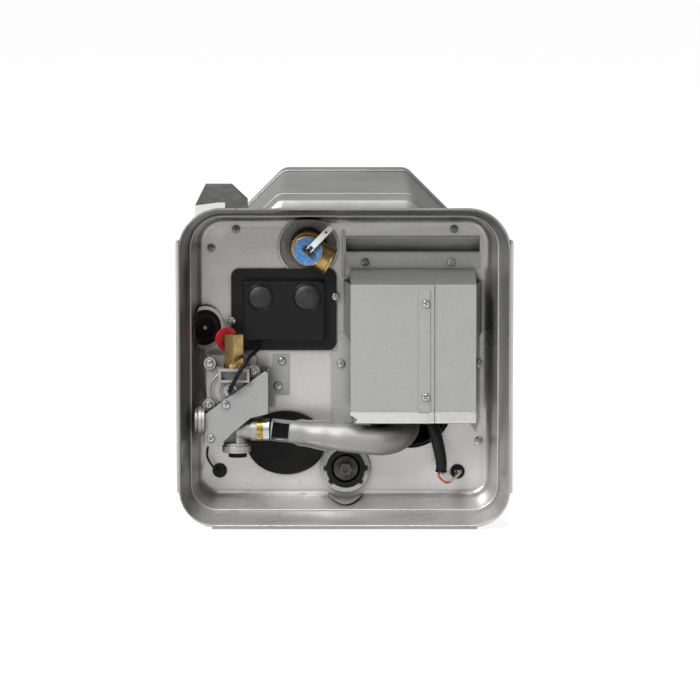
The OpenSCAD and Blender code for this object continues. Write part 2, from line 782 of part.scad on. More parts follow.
// Relief valve, with its discharge outlet turned down to the right.
module relief_valve_body() color("goldenrod") placed() {
    out_len = 25;
    out_y = cap_front + 16;
    difference() {
        union() {
            bar(relief_at, cap_front, relief_reach + 2, relief_r);
            bar(relief_at, -join, tank_front + spud_len - 4, relief_thread_r);
            translate([relief_x, out_y, relief_z]) rotate([0, 90 + outlet_angle, 0])
                cylinder(h = out_len, r = outlet_r);
            translate([relief_x, pin_y, relief_z]) rotate([0, -lever_angle, 0]) for (side = [-1, 1])
                translate([0, 0, side * (ear_in + ear_out) / 2])
                    block([-2.4, -2.2, -0.7], [2.4, cap_front - pin_y + join, 0.7]);
        }
        bar(relief_at, cap_front + 4, 34, spring_r + 2);
        bar(relief_at, cap_front - over, 8, stem_r + 0.4);
        bar(relief_at, -over, 50, 5);
        translate([relief_x, out_y, relief_z]) rotate([0, 90 + outlet_angle, 0])
            cylinder(h = out_len + over, r = outlet_bore_r - 4);
        translate([relief_x, out_y, relief_z]) rotate([0, 90 + outlet_angle, 0])
            translate([0, 0, out_len - 14]) cylinder(h = 14 + over, r = outlet_bore_r);
        translate([relief_x, pin_y, relief_z]) rotate([0, -lever_angle, 0])
            translate([0, 0, -10]) cylinder(h = 20, r = lever_pin_r + 0.02);
    }
}
module relief_label_disc() color("steelblue") placed() {
    difference() {
        bar(relief_at, cap_front - label_t, label_t, label_r);
        translate([relief_x, cap_front - label_t / 2, relief_z]) rotate([0, -lever_angle, 0])
            cube([2 * 2.4 + 1, 2 * label_t, 2 * ear_out + 1], center = true);
    }
}
// The lever lies along its own x, with its pin along z.
module relief_lever() color("whitesmoke") placed() {
    translate([relief_x, pin_y, relief_z]) rotate([0, -lever_angle, 0]) difference() {
        union() {
            for (side = [-1, 1]) translate([0, 0, side * (cheek_in + cheek_out) / 2]) {
                cylinder(h = cheek_out - cheek_in, r = lever_heel_r, center = true);
                block([0, -lever_heel_r, -(cheek_out - cheek_in) / 2],
                    [lever_fork + join, lever_t - lever_heel_r, (cheek_out - cheek_in) / 2]);
            }
            block([lever_fork, -lever_heel_r, -cheek_out], [lever_len - cheek_out,
                lever_t - lever_heel_r, cheek_out]);
            translate([lever_len - cheek_out, -lever_heel_r, 0]) rotate([-90, 0, 0])
                cylinder(h = lever_t, r = cheek_out);
        }
        translate([0, 0, -10]) cylinder(h = 20, r = lever_pin_r + run_gap);
        translate([lever_len - 8, -10, 0]) rotate([-90, 0, 0]) cylinder(h = 20, r = 1.2);
    }
}
module relief_lever_pin() color("gray") placed() {
    translate([relief_x, pin_y, relief_z]) rotate([0, -lever_angle, 0])
        translate([0, 0, -ear_out]) cylinder(h = 2 * ear_out, r = lever_pin_r);
}
module relief_stem() color("darkgray") placed() {
    tip = pin_y - lever_pin_r - 1.2;
    seat = spring_y + spring_len + 1;
    slot = lever_pin_r + 0.3;
    difference() {
        union() {
            bar(relief_at, tip, seat - tip, stem_r);
            bar(relief_at, seat - 1, 2, spring_r + 1);
        }
        translate([relief_x, pin_y, relief_z]) rotate([0, -lever_angle, 0]) {
            block([-slot, 0, -3], [slot, stem_lift + 0.5, 3]);
            for (y = [0, stem_lift + 0.5]) translate([0, y, -3]) cylinder(h = 6, r = slot);
        }
    }
}
module relief_spring() color("silver") placed() {
    steps = 12;
    count = spring_turns * steps;
    path = [for (i = [0 : count]) let (a = 360 * i / steps)
        [relief_x + spring_r * cos(a), spring_y + spring_wire_r + (spring_len - 2 * stem_lift)
            * i / count,
            relief_z + spring_r * sin(a)]];
    swept(path, [for (p = path) spring_wire_r], 6, [0, 1, 0]);
}
module relief_probe() color("goldenrod") placed() {
    bar(relief_at, tank_front + spud_len - 4, probe_len, probe_r);
}
module relief_well_ring() color("gray") placed() {
    r = well_r + sheet_t;
    turned(relief_at, [
        [r, panel_back], [r, 10], [spud_r + 4, 10], [spud_r + 4, 8.5], [spud_r + 7, 8.5], [spud_r + 7, 6],
        [well_r - 2, 6], [well_r - 2, panel_back]
    ]);
}

// Rubber cover over the two reset switches.
module thermostat_cover() color("black") placed() {
    edge = rounded(cover_w / 2, cover_h / 2, 8, 8);
    box = rounded(raised_w / 2, raised_h / 2, 4, 4);
    bore = rounded(raised_w / 2 - raised_wall, raised_h / 2 - raised_wall, 2, 2);
    difference() {
        union() {
            slab(-cover_edge, cover_edge) translate([cover_x, cover_z]) polygon(edge);
            slab(raised_front, raised_d - join) translate([cover_x, cover_z]) polygon(box);
            slab(raised_front - 0.8, 1.5) translate([cover_x - raised_w / 2 + 2, cover_z - 0.75])
                square([raised_w - 4, 1.4]);
        }
        slab(raised_front + raised_wall, raised_d) translate([cover_x, cover_z]) polygon(bore);
        bar(dome_at, raised_front - over, raised_wall + 2 * over, dome_r + free_gap);
        bar(limit_at, raised_front - over, raised_wall + 2 * over, limit_dome_r + free_gap);
        screw_holes(cover_screw_at);
    }
}
// Reset dome with the stub that reaches into its switch.
module reset_dome(at, r) {
    back = raised_front + raised_wall + seat_gap;
    turned(at, [
        [0, raised_front - 2.2], [r * 0.5, raised_front - 1.8], [r * 0.85, raised_front - 0.9], [r,
            raised_front],
        [r, back], [r + dome_flange, back], [r + dome_flange, back + 1.2], [dome_pin_r, back + 1.2],
        [dome_pin_r, switch_front + 2], [0, switch_front + 2]
    ]);
}
module thermostat_reset_button() color("dimgray") placed() reset_dome(dome_at, dome_r);
module high_limit_reset_button() color("dimgray") placed() reset_dome(limit_at, limit_dome_r);
module reset_switch(at) {
    base = tank_front - switch_base_t;
    difference() {
        union() {
            bar(at, switch_front + dome_travel, base - switch_front - dome_travel + join, switch_r);
            bar(at, switch_front, dome_travel + join, dome_pin_r + 2);
            bar(at, base, switch_base_t, switch_base_r);
        }
        bar(at, switch_front - over, dome_travel + 5, dome_pin_r + run_gap);
    }
}
module thermostat_switch() color("saddlebrown") placed() reset_switch(dome_at);
module high_limit_switch() color("saddlebrown") placed() reset_switch(limit_at);
module switch_clip_plate() color("silver") placed() {
    y = tank_front - switch_base_t - sheet_t;
    half_w = dome_gap + switch_base_r + 5;
    difference() {
        union() {
            slab(y, sheet_t) translate([cover_x - half_w, dome_at[1] - switch_base_r - 1])
                square([2 * half_w, 2 * switch_base_r + 2]);
            for (side = [-1, 1])
                block([cover_x + side * (half_w - 1.5) - 1.5, y, dome_at[1] - 8],
                    [cover_x + side * (half_w - 1.5) + 1.5, tank_front, dome_at[1] + 8]);
        }
        for (at = [dome_at, limit_at]) bar(at, y - over, sheet_t + 2 * over, switch_r + seat_gap);
    }
}

// Cast gas valve with its window block, corner bosses and lower outlet block.
module gas_valve_body() color("lightgray") placed() {
    low = valve_low;
    difference() {
        union() {
            block([valve_left + 4, valve_front + 4, -46], [valve_right, valve_back, ledge_z]);
            block([valve_left + 4, inlet_y + 12, ledge_z - join], [valve_right, valve_back, 6]);
            block([valve_left + 1, valve_front + 4, low], [gas_x + 2, valve_back, -45]);
            block([gas_x - ledge_half_w, ledge_front, ledge_low], [gas_x + ledge_half_w,
                valve_back - 4, ledge_z]);
            for (at = [[valve_left + 7, 0], [valve_left + 6, -41], [valve_right - 2, -8],
                [valve_right - 6, -42]])
                bar(at, valve_front, valve_back - valve_front - 2, hub_r);
            bar([gas_x - 4, -27], valve_front + 1, 8, 15);
            bar([bracket_screw_x, bracket_screw_z], bracket_y + sheet_t, 12, 5);
            bar([valve_left + 8, low + 6], bracket_y + sheet_t, 12, 5);
            translate([regulator_x, regulator_y, regulator_z]) rotate([0, 90, 0]) cylinder(h = 2.8,
                r = regulator_r);
        }
        block([gas_x - ledge_half_w + 2.5, ledge_front - over, ledge_low + 2.5],
            [gas_x + ledge_half_w - 2.5, ledge_front + 7, ledge_z - 2.5]);
        bar([gas_x - 4, -27], valve_front - over, 3, 10);
        translate([plunger_x, plunger_y, -77]) cylinder(h = 60, r = 9);
        for (at = [[bracket_screw_x, bracket_screw_z], [valve_left + 8, low + 6]])
            bar(at, bracket_y, 9, screw_r + seat_gap);
    }
}
module regulator_cap() color("gainsboro") placed() {
    translate([regulator_x, regulator_y, regulator_z]) rotate([0, -90, 0]) rotate_extrude() polygon([
        [0, 0], [regulator_r + 1, 0], [regulator_r + 1, 3], [regulator_r - 1, 4], [regulator_r - 1, 6.5],
        [regulator_r - 4, 6.5], [regulator_r - 4, 5.5], [0, 5.5]
    ]);
}
// Coil and plunger stand upright in the valve's bore.
module solenoid_coil() color("firebrick") placed() {
    translate([plunger_x, plunger_y, -55]) difference() {
        cylinder(h = 37, r = 9 - seat_gap);
        translate([0, 0, -over]) cylinder(h = 31 + over, r = plunger_r + run_gap);
    }
}
module valve_plunger() color("slategray") placed() {
    translate([plunger_x, plunger_y, -66]) {
        cylinder(h = 36 + 6 - plunger_travel - 1, r = plunger_r);
        cylinder(h = 6, r = 7);
    }
}
module gas_inlet_fitting() color("goldenrod") placed() {
    corner_r = inlet_flats / 2 / cos(30);
    translate([gas_x, inlet_y, ledge_z]) difference() {
        union() {
            cylinder(h = 4, r = 10.5);
            translate([0, 0, 4 - join]) rotate([0, 0, 30]) cylinder(h = inlet_h - 4 + join,
                r = corner_r, $fn = 6);
            translate([0, 0, port_z - ledge_z]) rotate([-90, 0, port_turn]) cylinder(h = port_len,
                r = inlet_port_r);
        }
        translate([0, 0, port_z - ledge_z]) rotate([-90, 0, port_turn])
            cylinder(h = port_len + over, r = inlet_bore_r);
    }
}
module transit_cap() color("crimson") placed() {
    bore = inlet_port_r + run_gap;
    nose = bore + 1.6;
    translate([gas_x, inlet_y, port_z]) rotate([-90, 0, port_turn]) rotate_extrude() polygon([
        [bore, port_len - 7.8], [transit_r, port_len - 7.8], [transit_r, port_len - 5.5], [nose,
            port_len - 5],
        [nose, port_len + 2], [nose - 1, port_len + 3], [0, port_len + 3], [0, port_len + seat_gap],
        [bore, port_len + seat_gap]
    ]);
}
module outlet_elbow() color("silver") placed() {
    difference() {
        union() {
            translate([elbow_x, gas_y, burner_z - 22]) cylinder(h = 6, r = 14.2);
            translate([elbow_x, gas_y, burner_z - 16 - join]) cylinder(h = 3, r = 12.5);
            translate([elbow_x, gas_y, burner_z - 14]) cylinder(h = 9, r1 = 10.5, r2 = 8);
            translate([elbow_x, gas_y, burner_z - 6]) cylinder(h = 6, r = 8);
            translate([elbow_x, gas_y, burner_z]) sphere(r = nozzle_r);
            translate([elbow_x, gas_y, burner_z]) rotate([0, 90, 0])
                cylinder(h = nozzle_end - elbow_x, r = nozzle_r - 1);
            translate([nozzle_left, gas_y, burner_z]) rotate([0, 90, 0])
                cylinder(h = nozzle_end - nozzle_left, r = nozzle_r);
        }
        block([elbow_x - 25, gas_y - 25, valve_low - seat_gap], [gas_x + 2 + seat_gap,
            valve_back + over, burner_z + 30]);
        translate([elbow_x, gas_y, burner_z]) rotate([0, 90, 0]) cylinder(h = 30, r = 4);
    }
}
module elbow_plug() color("black") placed() {
    translate([elbow_x + 1, gas_y, burner_z - 27]) cylinder(h = 5, r = 9);
}
module burner_orifice() color("darkgoldenrod") placed() {
    translate([nozzle_end, gas_y, burner_z]) rotate([0, 90, 0]) difference() {
        cylinder(h = orifice_w, r = nozzle_r + 0.4);
        translate([0, 0, -over]) cylinder(h = orifice_w + 2 * over, r = 1);
    }
}
module orifice_lock_ring() color("silver") placed() {
    translate([nozzle_end + orifice_w, gas_y, burner_z]) rotate([0, 90, 0]) difference() {
        cylinder(h = lock_w, r = nozzle_r);
        translate([0, 0, -over]) cylinder(h = lock_w + 2 * over, r = 4);
    }
}

// Burner tube frame: x along the tube, from the lock ring.
module along_tube() {
    translate([tube_start + nozzle_r * sin(tube_fall) + seat_gap, gas_y, burner_z])
        rotate([0, tube_fall, 0]) children();
}
shutter_wall = 0.8;
shutter_r = tube_in_r - shutter_wall;
shutter_start = 0.6;
shutter_len = 18;
module air_window(wide) {
    for (turn = [0, 180]) rotate([turn, 0, 0])
        block([shutter_start + 0.9, -20, -wide / 2], [shutter_start + 1.4 + air_window_w, 0, wide / 2]);
}
module air_shutter() color("dimgray") placed() along_tube() difference() {
    translate([shutter_start, 0, 0]) rotate([0, 90, 0]) cylinder(h = shutter_len, r = tube_in_r);
    translate([0, 0, 0]) rotate([0, 90, 0]) cylinder(h = 40, r = shutter_r + run_gap);
    air_window(19);
}
step_at = shutter_start + shutter_len + seat_gap;
cone_at = step_at + 16;
cone_end = cone_at + 34;
// Half section of the straight stretch, as radius and distance along the tube.
tube_inside = [
    [shutter_r - tube_wall, -over], [shutter_r - tube_wall, step_at + tube_wall],
        [tube_in_r - tube_wall, step_at + tube_wall],
    [tube_in_r - tube_wall, cone_at], [tube_out_r - tube_wall, cone_end], [tube_out_r - tube_wall,
        tube_reach]
];
tube_outside = [
    [shutter_r, 0], [shutter_r, step_at], [tube_in_r, step_at], [tube_in_r, cone_at],
    [tube_out_r, cone_end], [tube_out_r, tube_reach]
];
module tube_turned(profile) {
    rotate([tube_rise, 0, 0]) rotate([0, 90, 0]) rotate([0, 0, -90]) rotate_extrude() polygon(profile);
}
module tube_end() {
    difference() {
        circle(r = tube_out_r);
        circle(r = tube_out_r - tube_wall);
    }
}
module burner_tube() color("darkgray") placed() along_tube() {
    difference() {
        union() {
            tube_turned(concat([[0, 0]], tube_outside, [[0, tube_reach]]));
            block([step_at + 4, -0.8, -tube_in_r - 2.6], [step_at + 44, 0.8, tube_in_r + 2.6]);
        }
        tube_turned(concat([[0, -over]], tube_inside, [[0, tube_reach]]));
        air_window(18);
    }
    rotate([tube_rise, 0, 0]) {
        translate([tube_reach, tube_bend_r, 0]) rotate([0, 0, -90]) rotate_extrude(angle = 90)
            translate([tube_bend_r, 0]) tube_end();
        translate([tube_reach + tube_bend_r, tube_bend_r, 0]) rotate([-90, 0, 0])
            linear_extrude(tube_tail) tube_end();
    }
}

// Bracket that holds the gas valve: face plate, leg back to the panel and foot.
bracket_leg_x = foot_x - 4;
module valve_bracket() color("silver") placed() {
    face = [
        [valve_left + 2, -50], [bracket_leg_x - 3, -7], [bracket_leg_x, -9], [bracket_leg_x, -49],
        [gas_x + 16, -53], [gas_x - 3, -69], [gas_x - 14, -80], [valve_left + 2, -81]
    ];
    difference() {
        union() {
            slab(bracket_y, sheet_t) polygon(face);
            block([bracket_leg_x - sheet_t, bracket_y, -49], [bracket_leg_x, 0, -10]);
            block([bracket_leg_x - sheet_t, -sheet_t, -49], [foot_x + 2, 0, -10]);
            block([foot_x, -sheet_t, foot_low], [foot_x + foot_w, 0, foot_high]);
        }
        screw_holes(bracket_screw_at);
        for (at = [[bracket_screw_x, bracket_screw_z], [valve_left + 8, -73]])
            bar(at, bracket_y - over, sheet_t + 2 * over, screw_r + seat_gap);
    }
}

// Burner box, in two overlapping covers screwed together at the front.
box_front = -box_d;
box_flare = 7;
function roof_profile(y) = [
    [y, box_top], [-sheet_t, box_top + box_roof_rise - sheet_t], [-sheet_t, box_top + box_roof_rise],
    [y - sheet_t * 0.2, box_top + sheet_t]
];
module box_half(x_low, x_high, y) {
    slab(y, sheet_t) translate([x_low, box_low]) square([x_high - x_low, box_top - box_low + sheet_t]);
    translate([x_low, 0, 0]) rotate([90, 0, 90]) linear_extrude(x_high - x_low) {
        polygon(roof_profile(y));
        polygon([[y, box_low], [y + sheet_t, box_low], [y + sheet_t - 4, box_low - box_lip],
            [y - 4, box_low - box_lip]]);
    }
}
// Upper side of the box, which spreads out towards the panel.
module box_cheek(x, side, y, low) {
    translate([x, 0, low - join]) linear_extrude(box_top - low + join) polygon([
        [0, y], [-side * sheet_t, y], [side * (box_flare - sheet_t), 0], [side * box_flare, 0]
    ]);
}
module box_left_cover() color("lightgray") placed() {
    side_top = box_low + box_side_h;
    difference() {
        union() {
            box_half(box_left, lap_right, box_front);
            block([box_left, box_front, box_low], [box_left + sheet_t, 0, side_top]);
            block([box_left - box_foot_w, -sheet_t, box_low - 18], [box_left + sheet_t, 0,
                cover_z - cover_h / 2 - 1]);
            block([cover_x + cover_w / 2 + 1, -sheet_t, box_low], [box_left + sheet_t, 0, side_top]);
            slab(box_front - 0.8, 1.2) translate([lap_left + 1, box_low]) square([box_lap - 5,
                box_top - box_low - 4]);
            box_cheek(box_left, -1, box_front, side_top);
        }
        translate([box_left, box_front - 6, box_low - box_lip - 1]) rotate([0, 30, 0])
            cube([7, 14, 14], center = true);
        screw_holes(box_foot_screw_at);
        for (z = [box_low + 15, box_top - 17])
            bar([lap_mid, z], box_front - 2, 6, screw_r + seat_gap);
    }
}
module box_right_cover() color("lightgray") placed() {
    side_top = box_low + box_side_h;
    y = box_front + sheet_t + seat_gap;
    difference() {
        union() {
            box_half(lap_right + seat_gap, box_end, y);
            slab(y, sheet_t) translate([lap_left, box_low]) square([box_end - lap_left,
                box_top - box_low - 6]);
            block([box_end - sheet_t, y, box_low], [box_end, 0, side_top]);
            box_cheek(box_end, 1, y, side_top);
            slab(-sheet_t, sheet_t) polygon([
                [box_end - sheet_t, side_top], [box_end + 5, side_top], [box_end + 5, box_low - 14],
                [box_end + 1.5, box_low - 27], [box_end - 7, box_low - 14], [box_end - sheet_t, box_low]
            ]);
        }
        screw_holes(box_foot_screw_at);
        for (z = [box_low + 15, box_top - 17])
            bar([lap_mid, z], box_front - 2, 6, screw_r + seat_gap);
    }
}
module box_top_plate() color("lightgray") placed() {
    difference() {
        slab(-sheet_t, sheet_t) translate([slot_x - slot_span / 2, top_plate_low])
            square([slot_span, top_plate_h]);
        screw_holes(top_screw_at);
    }
}

// All the sheet metal screws, each on the face that it holds.
module sheet_screws() color("gainsboro") placed() {
    for (at = pan_screw_at) screw(at, 0, 5);
    for (at = cover_screw_at) screw(at, -cover_edge, 5 + cover_edge);
    for (at = concat(bracket_screw_at, box_foot_screw_at, top_screw_at)) screw(at, -sheet_t, 6);
    screw([bracket_screw_x, bracket_screw_z], bracket_y, 8);
    screw([valve_left + 8, -73], bracket_y, 8);
    for (z = [box_low + 15, box_top - 17]) screw([lap_mid, z], box_front - 0.8, 5);
}

// Spark electrode on the burner, its boot and the two wires.
module spark_electrode() color("ivory") placed() {
    at = [boot_route[0][0], boot_route[0][2]];
    bar(at, boot_route[0][1], electrode_len, electrode_r);
    bar(at, boot_route[0][1] + electrode_len, spark_len, spark_r);
    block([burner_end_x + tube_out_r + 1.5, 8, at[1] - 1], [at[0], 10, at[1] + 1]);
}
module electrode_boot() color("black") placed() {
    path = boot_route;
    swept(path, boot_r, 12, [1, 0, 0]);
}
module ignition_leads() color("coral") placed() {
    lead(orange_route, wire_r);
    lead(white_route, wire_r);
}
module wire_grommets() color("black") placed() {
    bore = 4.6;
    lip = grommet_lip;
    body = wire_hole_r - seat_gap;
    profile = [[bore, -1.6], [lip, -1.2], [lip, 0], [body, 0], [body, panel_back], [lip, panel_back],
        [lip, panel_back + 1.2], [bore, panel_back + 1.6]];
    turned(lead_hole_at, profile);
    difference() {
        bar(lead_hole_at, panel_back + 0.2, 1.2, bore + join);
        for (at = [[lead_x - 1, -114.1], [lead_x + 2.5, -114]]) bar(at, panel_back - over, 4,
            wire_r + 0.3);
    }
    turned(wire_hole_at, [for (p = profile) [p[0] == bore ? ground_r + 0.2 : p[0], p[1]]]);
}
module gas_line_grommet() color("black") placed() {
    r = grommet_r - seat_gap;
    on_grommet() rotate_extrude() polygon([
        [2.4, -grommet_face], [r, -grommet_face], [r, 0], [grommet_r + 2.4, 0], [grommet_r + 2, 1.6],
        [r - 3, 2.4], [5, 1], [2.4, 1]
    ]);
}
module ground_wire() color("saddlebrown") placed() lead(ground_route, ground_r);
module valve_lead() color("black") placed() lead(valve_lead_route, valve_lead_r);

// Oval cover over the electric element.
module element_cover() color("black") placed() {
    lip = 2.5;
    difference() {
        slab(-lip, lip) translate(element_at)
            polygon([for (a = [0 : 5 : 355]) [oval_w / 2 * cos(a), oval_h / 2 * sin(a)]]);
        bar([element_at[0] + 10, element_at[1] - oval_h / 2], -lip - over, lip + 2 * over, 2);
        bar(drain_at, -lip - over, lip + 2 * over, collar_r + 0.5);
    }
}
module heating_element() color("darkgray") placed() {
    rod_r = 3.6;
    half = 7;
    len = 200;
    bar(element_at, 3, tank_front - 7, spud_r + 2);
    bar(element_at, tank_front - 4 - join, spud_len - 2, relief_thread_r);
    for (side = [-1, 1]) bar([element_at[0] + side * half, element_at[1]], tank_front + 4, len, rod_r);
    translate([element_at[0], tank_front + 4 + len, element_at[1]]) rotate_extrude(angle = 180)
        translate([half, 0]) circle(r = rod_r);
}

// Drain plug with its collar, seal ring and anode rod.
module drain_collar() color("gainsboro") placed() {
    turned(drain_at, [[collar_r, 0], [collar_r, -4], [collar_r - 2, -6], [seal_r + 1, -6],
        [seal_r + 1, 0]]);
}
module drain_seal() color("black") placed() {
    ring(drain_at, -7.5, 7.5, seal_r, plug_r + free_gap);
    for (turn = [0, 180, 222, 318]) translate([drain_x, 0, drain_z]) rotate([0, -turn, 0])
        block([seal_r - 1, -7.5, -2], [seal_r + 3, -6.2, 2]);
}
module drain_plug() color("dimgray") placed() {
    difference() {
        union() {
            turned(drain_at, [
                [0, plug_front], [5.5, plug_front], [5.5, plug_front + 1], [plug_r - 2,
                    plug_front + 2], [plug_r, plug_front + 4],
                [plug_r, plug_back], [plug_shank_r - free_gap, plug_back],
                    [plug_shank_r - free_gap, tank_front + spud_len - 4],
                [0, tank_front + spud_len - 4]
            ]);
            translate([drain_x, plug_front + 1, drain_z]) rotate([90, 0, 0]) cylinder(h = 7,
                r = 6.5, $fn = 6);
        }
        bar(drain_at, plug_front - 7, 3, 3);
    }
}
module anode_rod() color("lightslategray") placed() {
    bar(drain_at, tank_front + spud_len - 4, anode_len, anode_r);
}

// Wiring box on the jacket's upper left slope.
jb_near = 44;
jb_len = 22;
jb_outline = [[-149, 147], [-139, 167], [-113, 167], [-97, 152]];
jb_slope = jacket_w / 2 + jacket_h / 2 - jacket_cut;
function on_slope(x) = jb_slope + x;
module junction_box() color("dimgray") placed() {
    outline = concat(jb_outline, [[jb_outline[3][0], on_slope(jb_outline[3][0])],
        [jb_outline[0][0], on_slope(jb_outline[0][0])]]);
    inner = [[-147.5, 145], [-139, 160], [-113, 160], [-98.5, 147], [-98.5, 110], [-147.5, 60]];
    difference() {
        slab(jb_near, jb_len) polygon(outline);
        slab(jb_near + sheet_t, jb_len - 2 * sheet_t) polygon(inner);
    }
}
module junction_box_cover() color("whitesmoke") placed() {
    slab(jb_near - sheet_t, sheet_t) polygon([[-149, 147], [-149, 132], [-119, 132], [-119, 150],
        [-125, 150]]);
}

front_pan();
mounting_flanges();
jacket_front_cap();
jacket_wrapper();
jacket_rear_cap();
insulation_upper();
insulation_lower();
tank_shell();
tank_spuds();
water_fittings();
cold_dip_tube();
flue_tube();
flue_collector();
relief_valve_body();
relief_label_disc();
relief_lever();
relief_lever_pin();
relief_stem();
relief_spring();
relief_probe();
relief_well_ring();
thermostat_cover();
thermostat_reset_button();
high_limit_reset_button();
thermostat_switch();
high_limit_switch();
switch_clip_plate();
gas_valve_body();
regulator_cap();
solenoid_coil();
valve_plunger();
gas_inlet_fitting();
transit_cap();
outlet_elbow();
elbow_plug();
burner_orifice();
orifice_lock_ring();
air_shutter();
burner_tube();
valve_bracket();
box_left_cover();
box_right_cover();
box_top_plate();
sheet_screws();
spark_electrode();
electrode_boot();
ignition_leads();
wire_grommets();
gas_line_grommet();
ground_wire();
valve_lead();
element_cover();
heating_element();
drain_collar();
drain_seal();
drain_plug();
anode_rod();
junction_box();
junction_box_cover();
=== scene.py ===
"""Looks of a caravan water heater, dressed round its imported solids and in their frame."""

import logging
from dataclasses import dataclass
from enum import Enum
from math import cos, pi, radians, sin, sqrt
from typing import ClassVar, Sequence

import bmesh
import bpy
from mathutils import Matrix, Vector


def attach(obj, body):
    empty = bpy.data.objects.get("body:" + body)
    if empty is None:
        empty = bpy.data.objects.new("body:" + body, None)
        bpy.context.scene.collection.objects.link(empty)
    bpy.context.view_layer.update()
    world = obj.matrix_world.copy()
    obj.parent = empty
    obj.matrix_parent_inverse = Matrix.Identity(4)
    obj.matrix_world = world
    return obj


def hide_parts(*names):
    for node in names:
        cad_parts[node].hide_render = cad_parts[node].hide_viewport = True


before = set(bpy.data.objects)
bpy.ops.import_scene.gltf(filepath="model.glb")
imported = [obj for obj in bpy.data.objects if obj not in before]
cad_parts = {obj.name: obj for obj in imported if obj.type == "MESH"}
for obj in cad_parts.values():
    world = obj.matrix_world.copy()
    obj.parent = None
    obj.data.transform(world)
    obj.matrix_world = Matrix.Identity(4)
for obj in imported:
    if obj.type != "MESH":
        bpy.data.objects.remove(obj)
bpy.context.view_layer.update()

LOG = logging.getLogger("heater")
Socket = bpy.types.NodeSocket
Object = bpy.types.Object
Pair = tuple[float, float]
Triple = tuple[float, float, float]
Profile = Sequence[Pair]
Route = Sequence[Triple]

MM = 1000
PANEL_Y, PANEL_Z = 158.6, 158
LEAST_R = 0.01
NOISE_SPAN = (0.3, 0.7)
OUT = Vector((0, -1, 0))
UP = Vector((0, 0, 1))
RIGHT = Vector((1, 0, 0))


def at(x: float, y: float, z: float) -> Vector:
    """Turns a place on the back panel, in millimetres, into the frame's metres."""
    return Vector((x / MM, (y - PANEL_Y) / MM, (z + PANEL_Z) / MM))


def scaled(colour: Triple, by: float) -> Triple:
    """Makes a colour lighter or darker."""
    return tuple(min(part * by, 1.0) for part in colour)


def spaced(low: float, high: float, count: int) -> list[float]:
    """Gives even steps from one value to another, with both ends."""
    return [low + (high - low) * k / count for k in range(count + 1)]


def linked(name: str, data: bpy.types.ID) -> Object:
    """Makes an object and links it into the scene.

    Args:
        name: Name of the object.
        data: Its mesh, curve, lamp or camera.

    Returns:
        The new object.
    """
    made = bpy.data.objects.new(name, data)
    bpy.context.scene.collection.objects.link(made)
    return made


def smooth_route(route: Route, steps: int) -> list[Vector]:
    """Gives a smooth curve through a route, as the part's source draws it.

    Args:
        route: Places on the back panel, in millimetres.
        steps: Points for each stretch.

    Returns:
        Points in the frame's metres.
    """
    knots = [at(*place) for place in route]
    last = len(knots) - 1
    made = []
    for i in range(last):
        a, b, c, d = (knots[min(max(i + k, 0), last)] for k in (-1, 0, 1, 2))
        for k in range(steps):
            t = k / steps
            straight = 2 * b + (c - a) * t
            bent = (2 * a - 5 * b + 4 * c - d) * t * t
            made.append(0.5 * (straight + bent + (3 * b - a - 3 * c + d) * t ** 3))
    return made + [knots[last]]


def sections(path: Sequence[Vector], radii: Sequence[float], sides: int,
             start: Vector) -> list[list[Vector]]:
    """Gives round sections along a path without twist.

    Args:
        path: Middle points.
        radii: Radius at each point, in metres.
        sides: Points of each section.
        start: Way of the first point of the first section.

    Returns:
        One ring of points for each middle point.
    """
    rings, across = [], start
    turns = [2 * pi * k / sides for k in range(sides)]
    for i, point in enumerate(path):
        way = (path[min(i + 1, len(path) - 1)] - path[max(i - 1, 0)]).normalized()
        across = (across - way * across.dot(way)).normalized()
        along = way.cross(across)
        rings.append([point + (across * cos(a) + along * sin(a)) * radii[i] for a in turns])
    return rings


def rounded(half_w: float, half_h: float, upper_r: float, lower_r: float,
            steps: int = 8) -> list[Pair]:
    """Gives the outline of a rectangle with round corners.

    Args:
        half_w: Half its width.
        half_h: Half its height.
        upper_r: Radius of its upper corners.
        lower_r: Radius of its lower corners.
        steps: Stretches in each corner.

    Returns:
        Its points as x and z from its middle.
    """
    made = []
    for k in range(4):
        r = upper_r if k < 2 else lower_r
        x = (half_w - r) * (1 if k in (0, 3) else -1)
        z = (half_h - r) * (1 if k < 2 else -1)
        turns = map(radians, spaced(90 * k, 90 * k + 90, steps))
        made += [(x + r * cos(a), z + r * sin(a)) for a in turns]
    return made


class Grain(Enum):
    """Ways that the rolling or brushing of a sheet can run, as stretches of its pattern."""

    LEVEL = (6.0, 900.0, 900.0)
    UPRIGHT = (900.0, 900.0, 6.0)
    INWARD = (900.0, 6.0, 900.0)


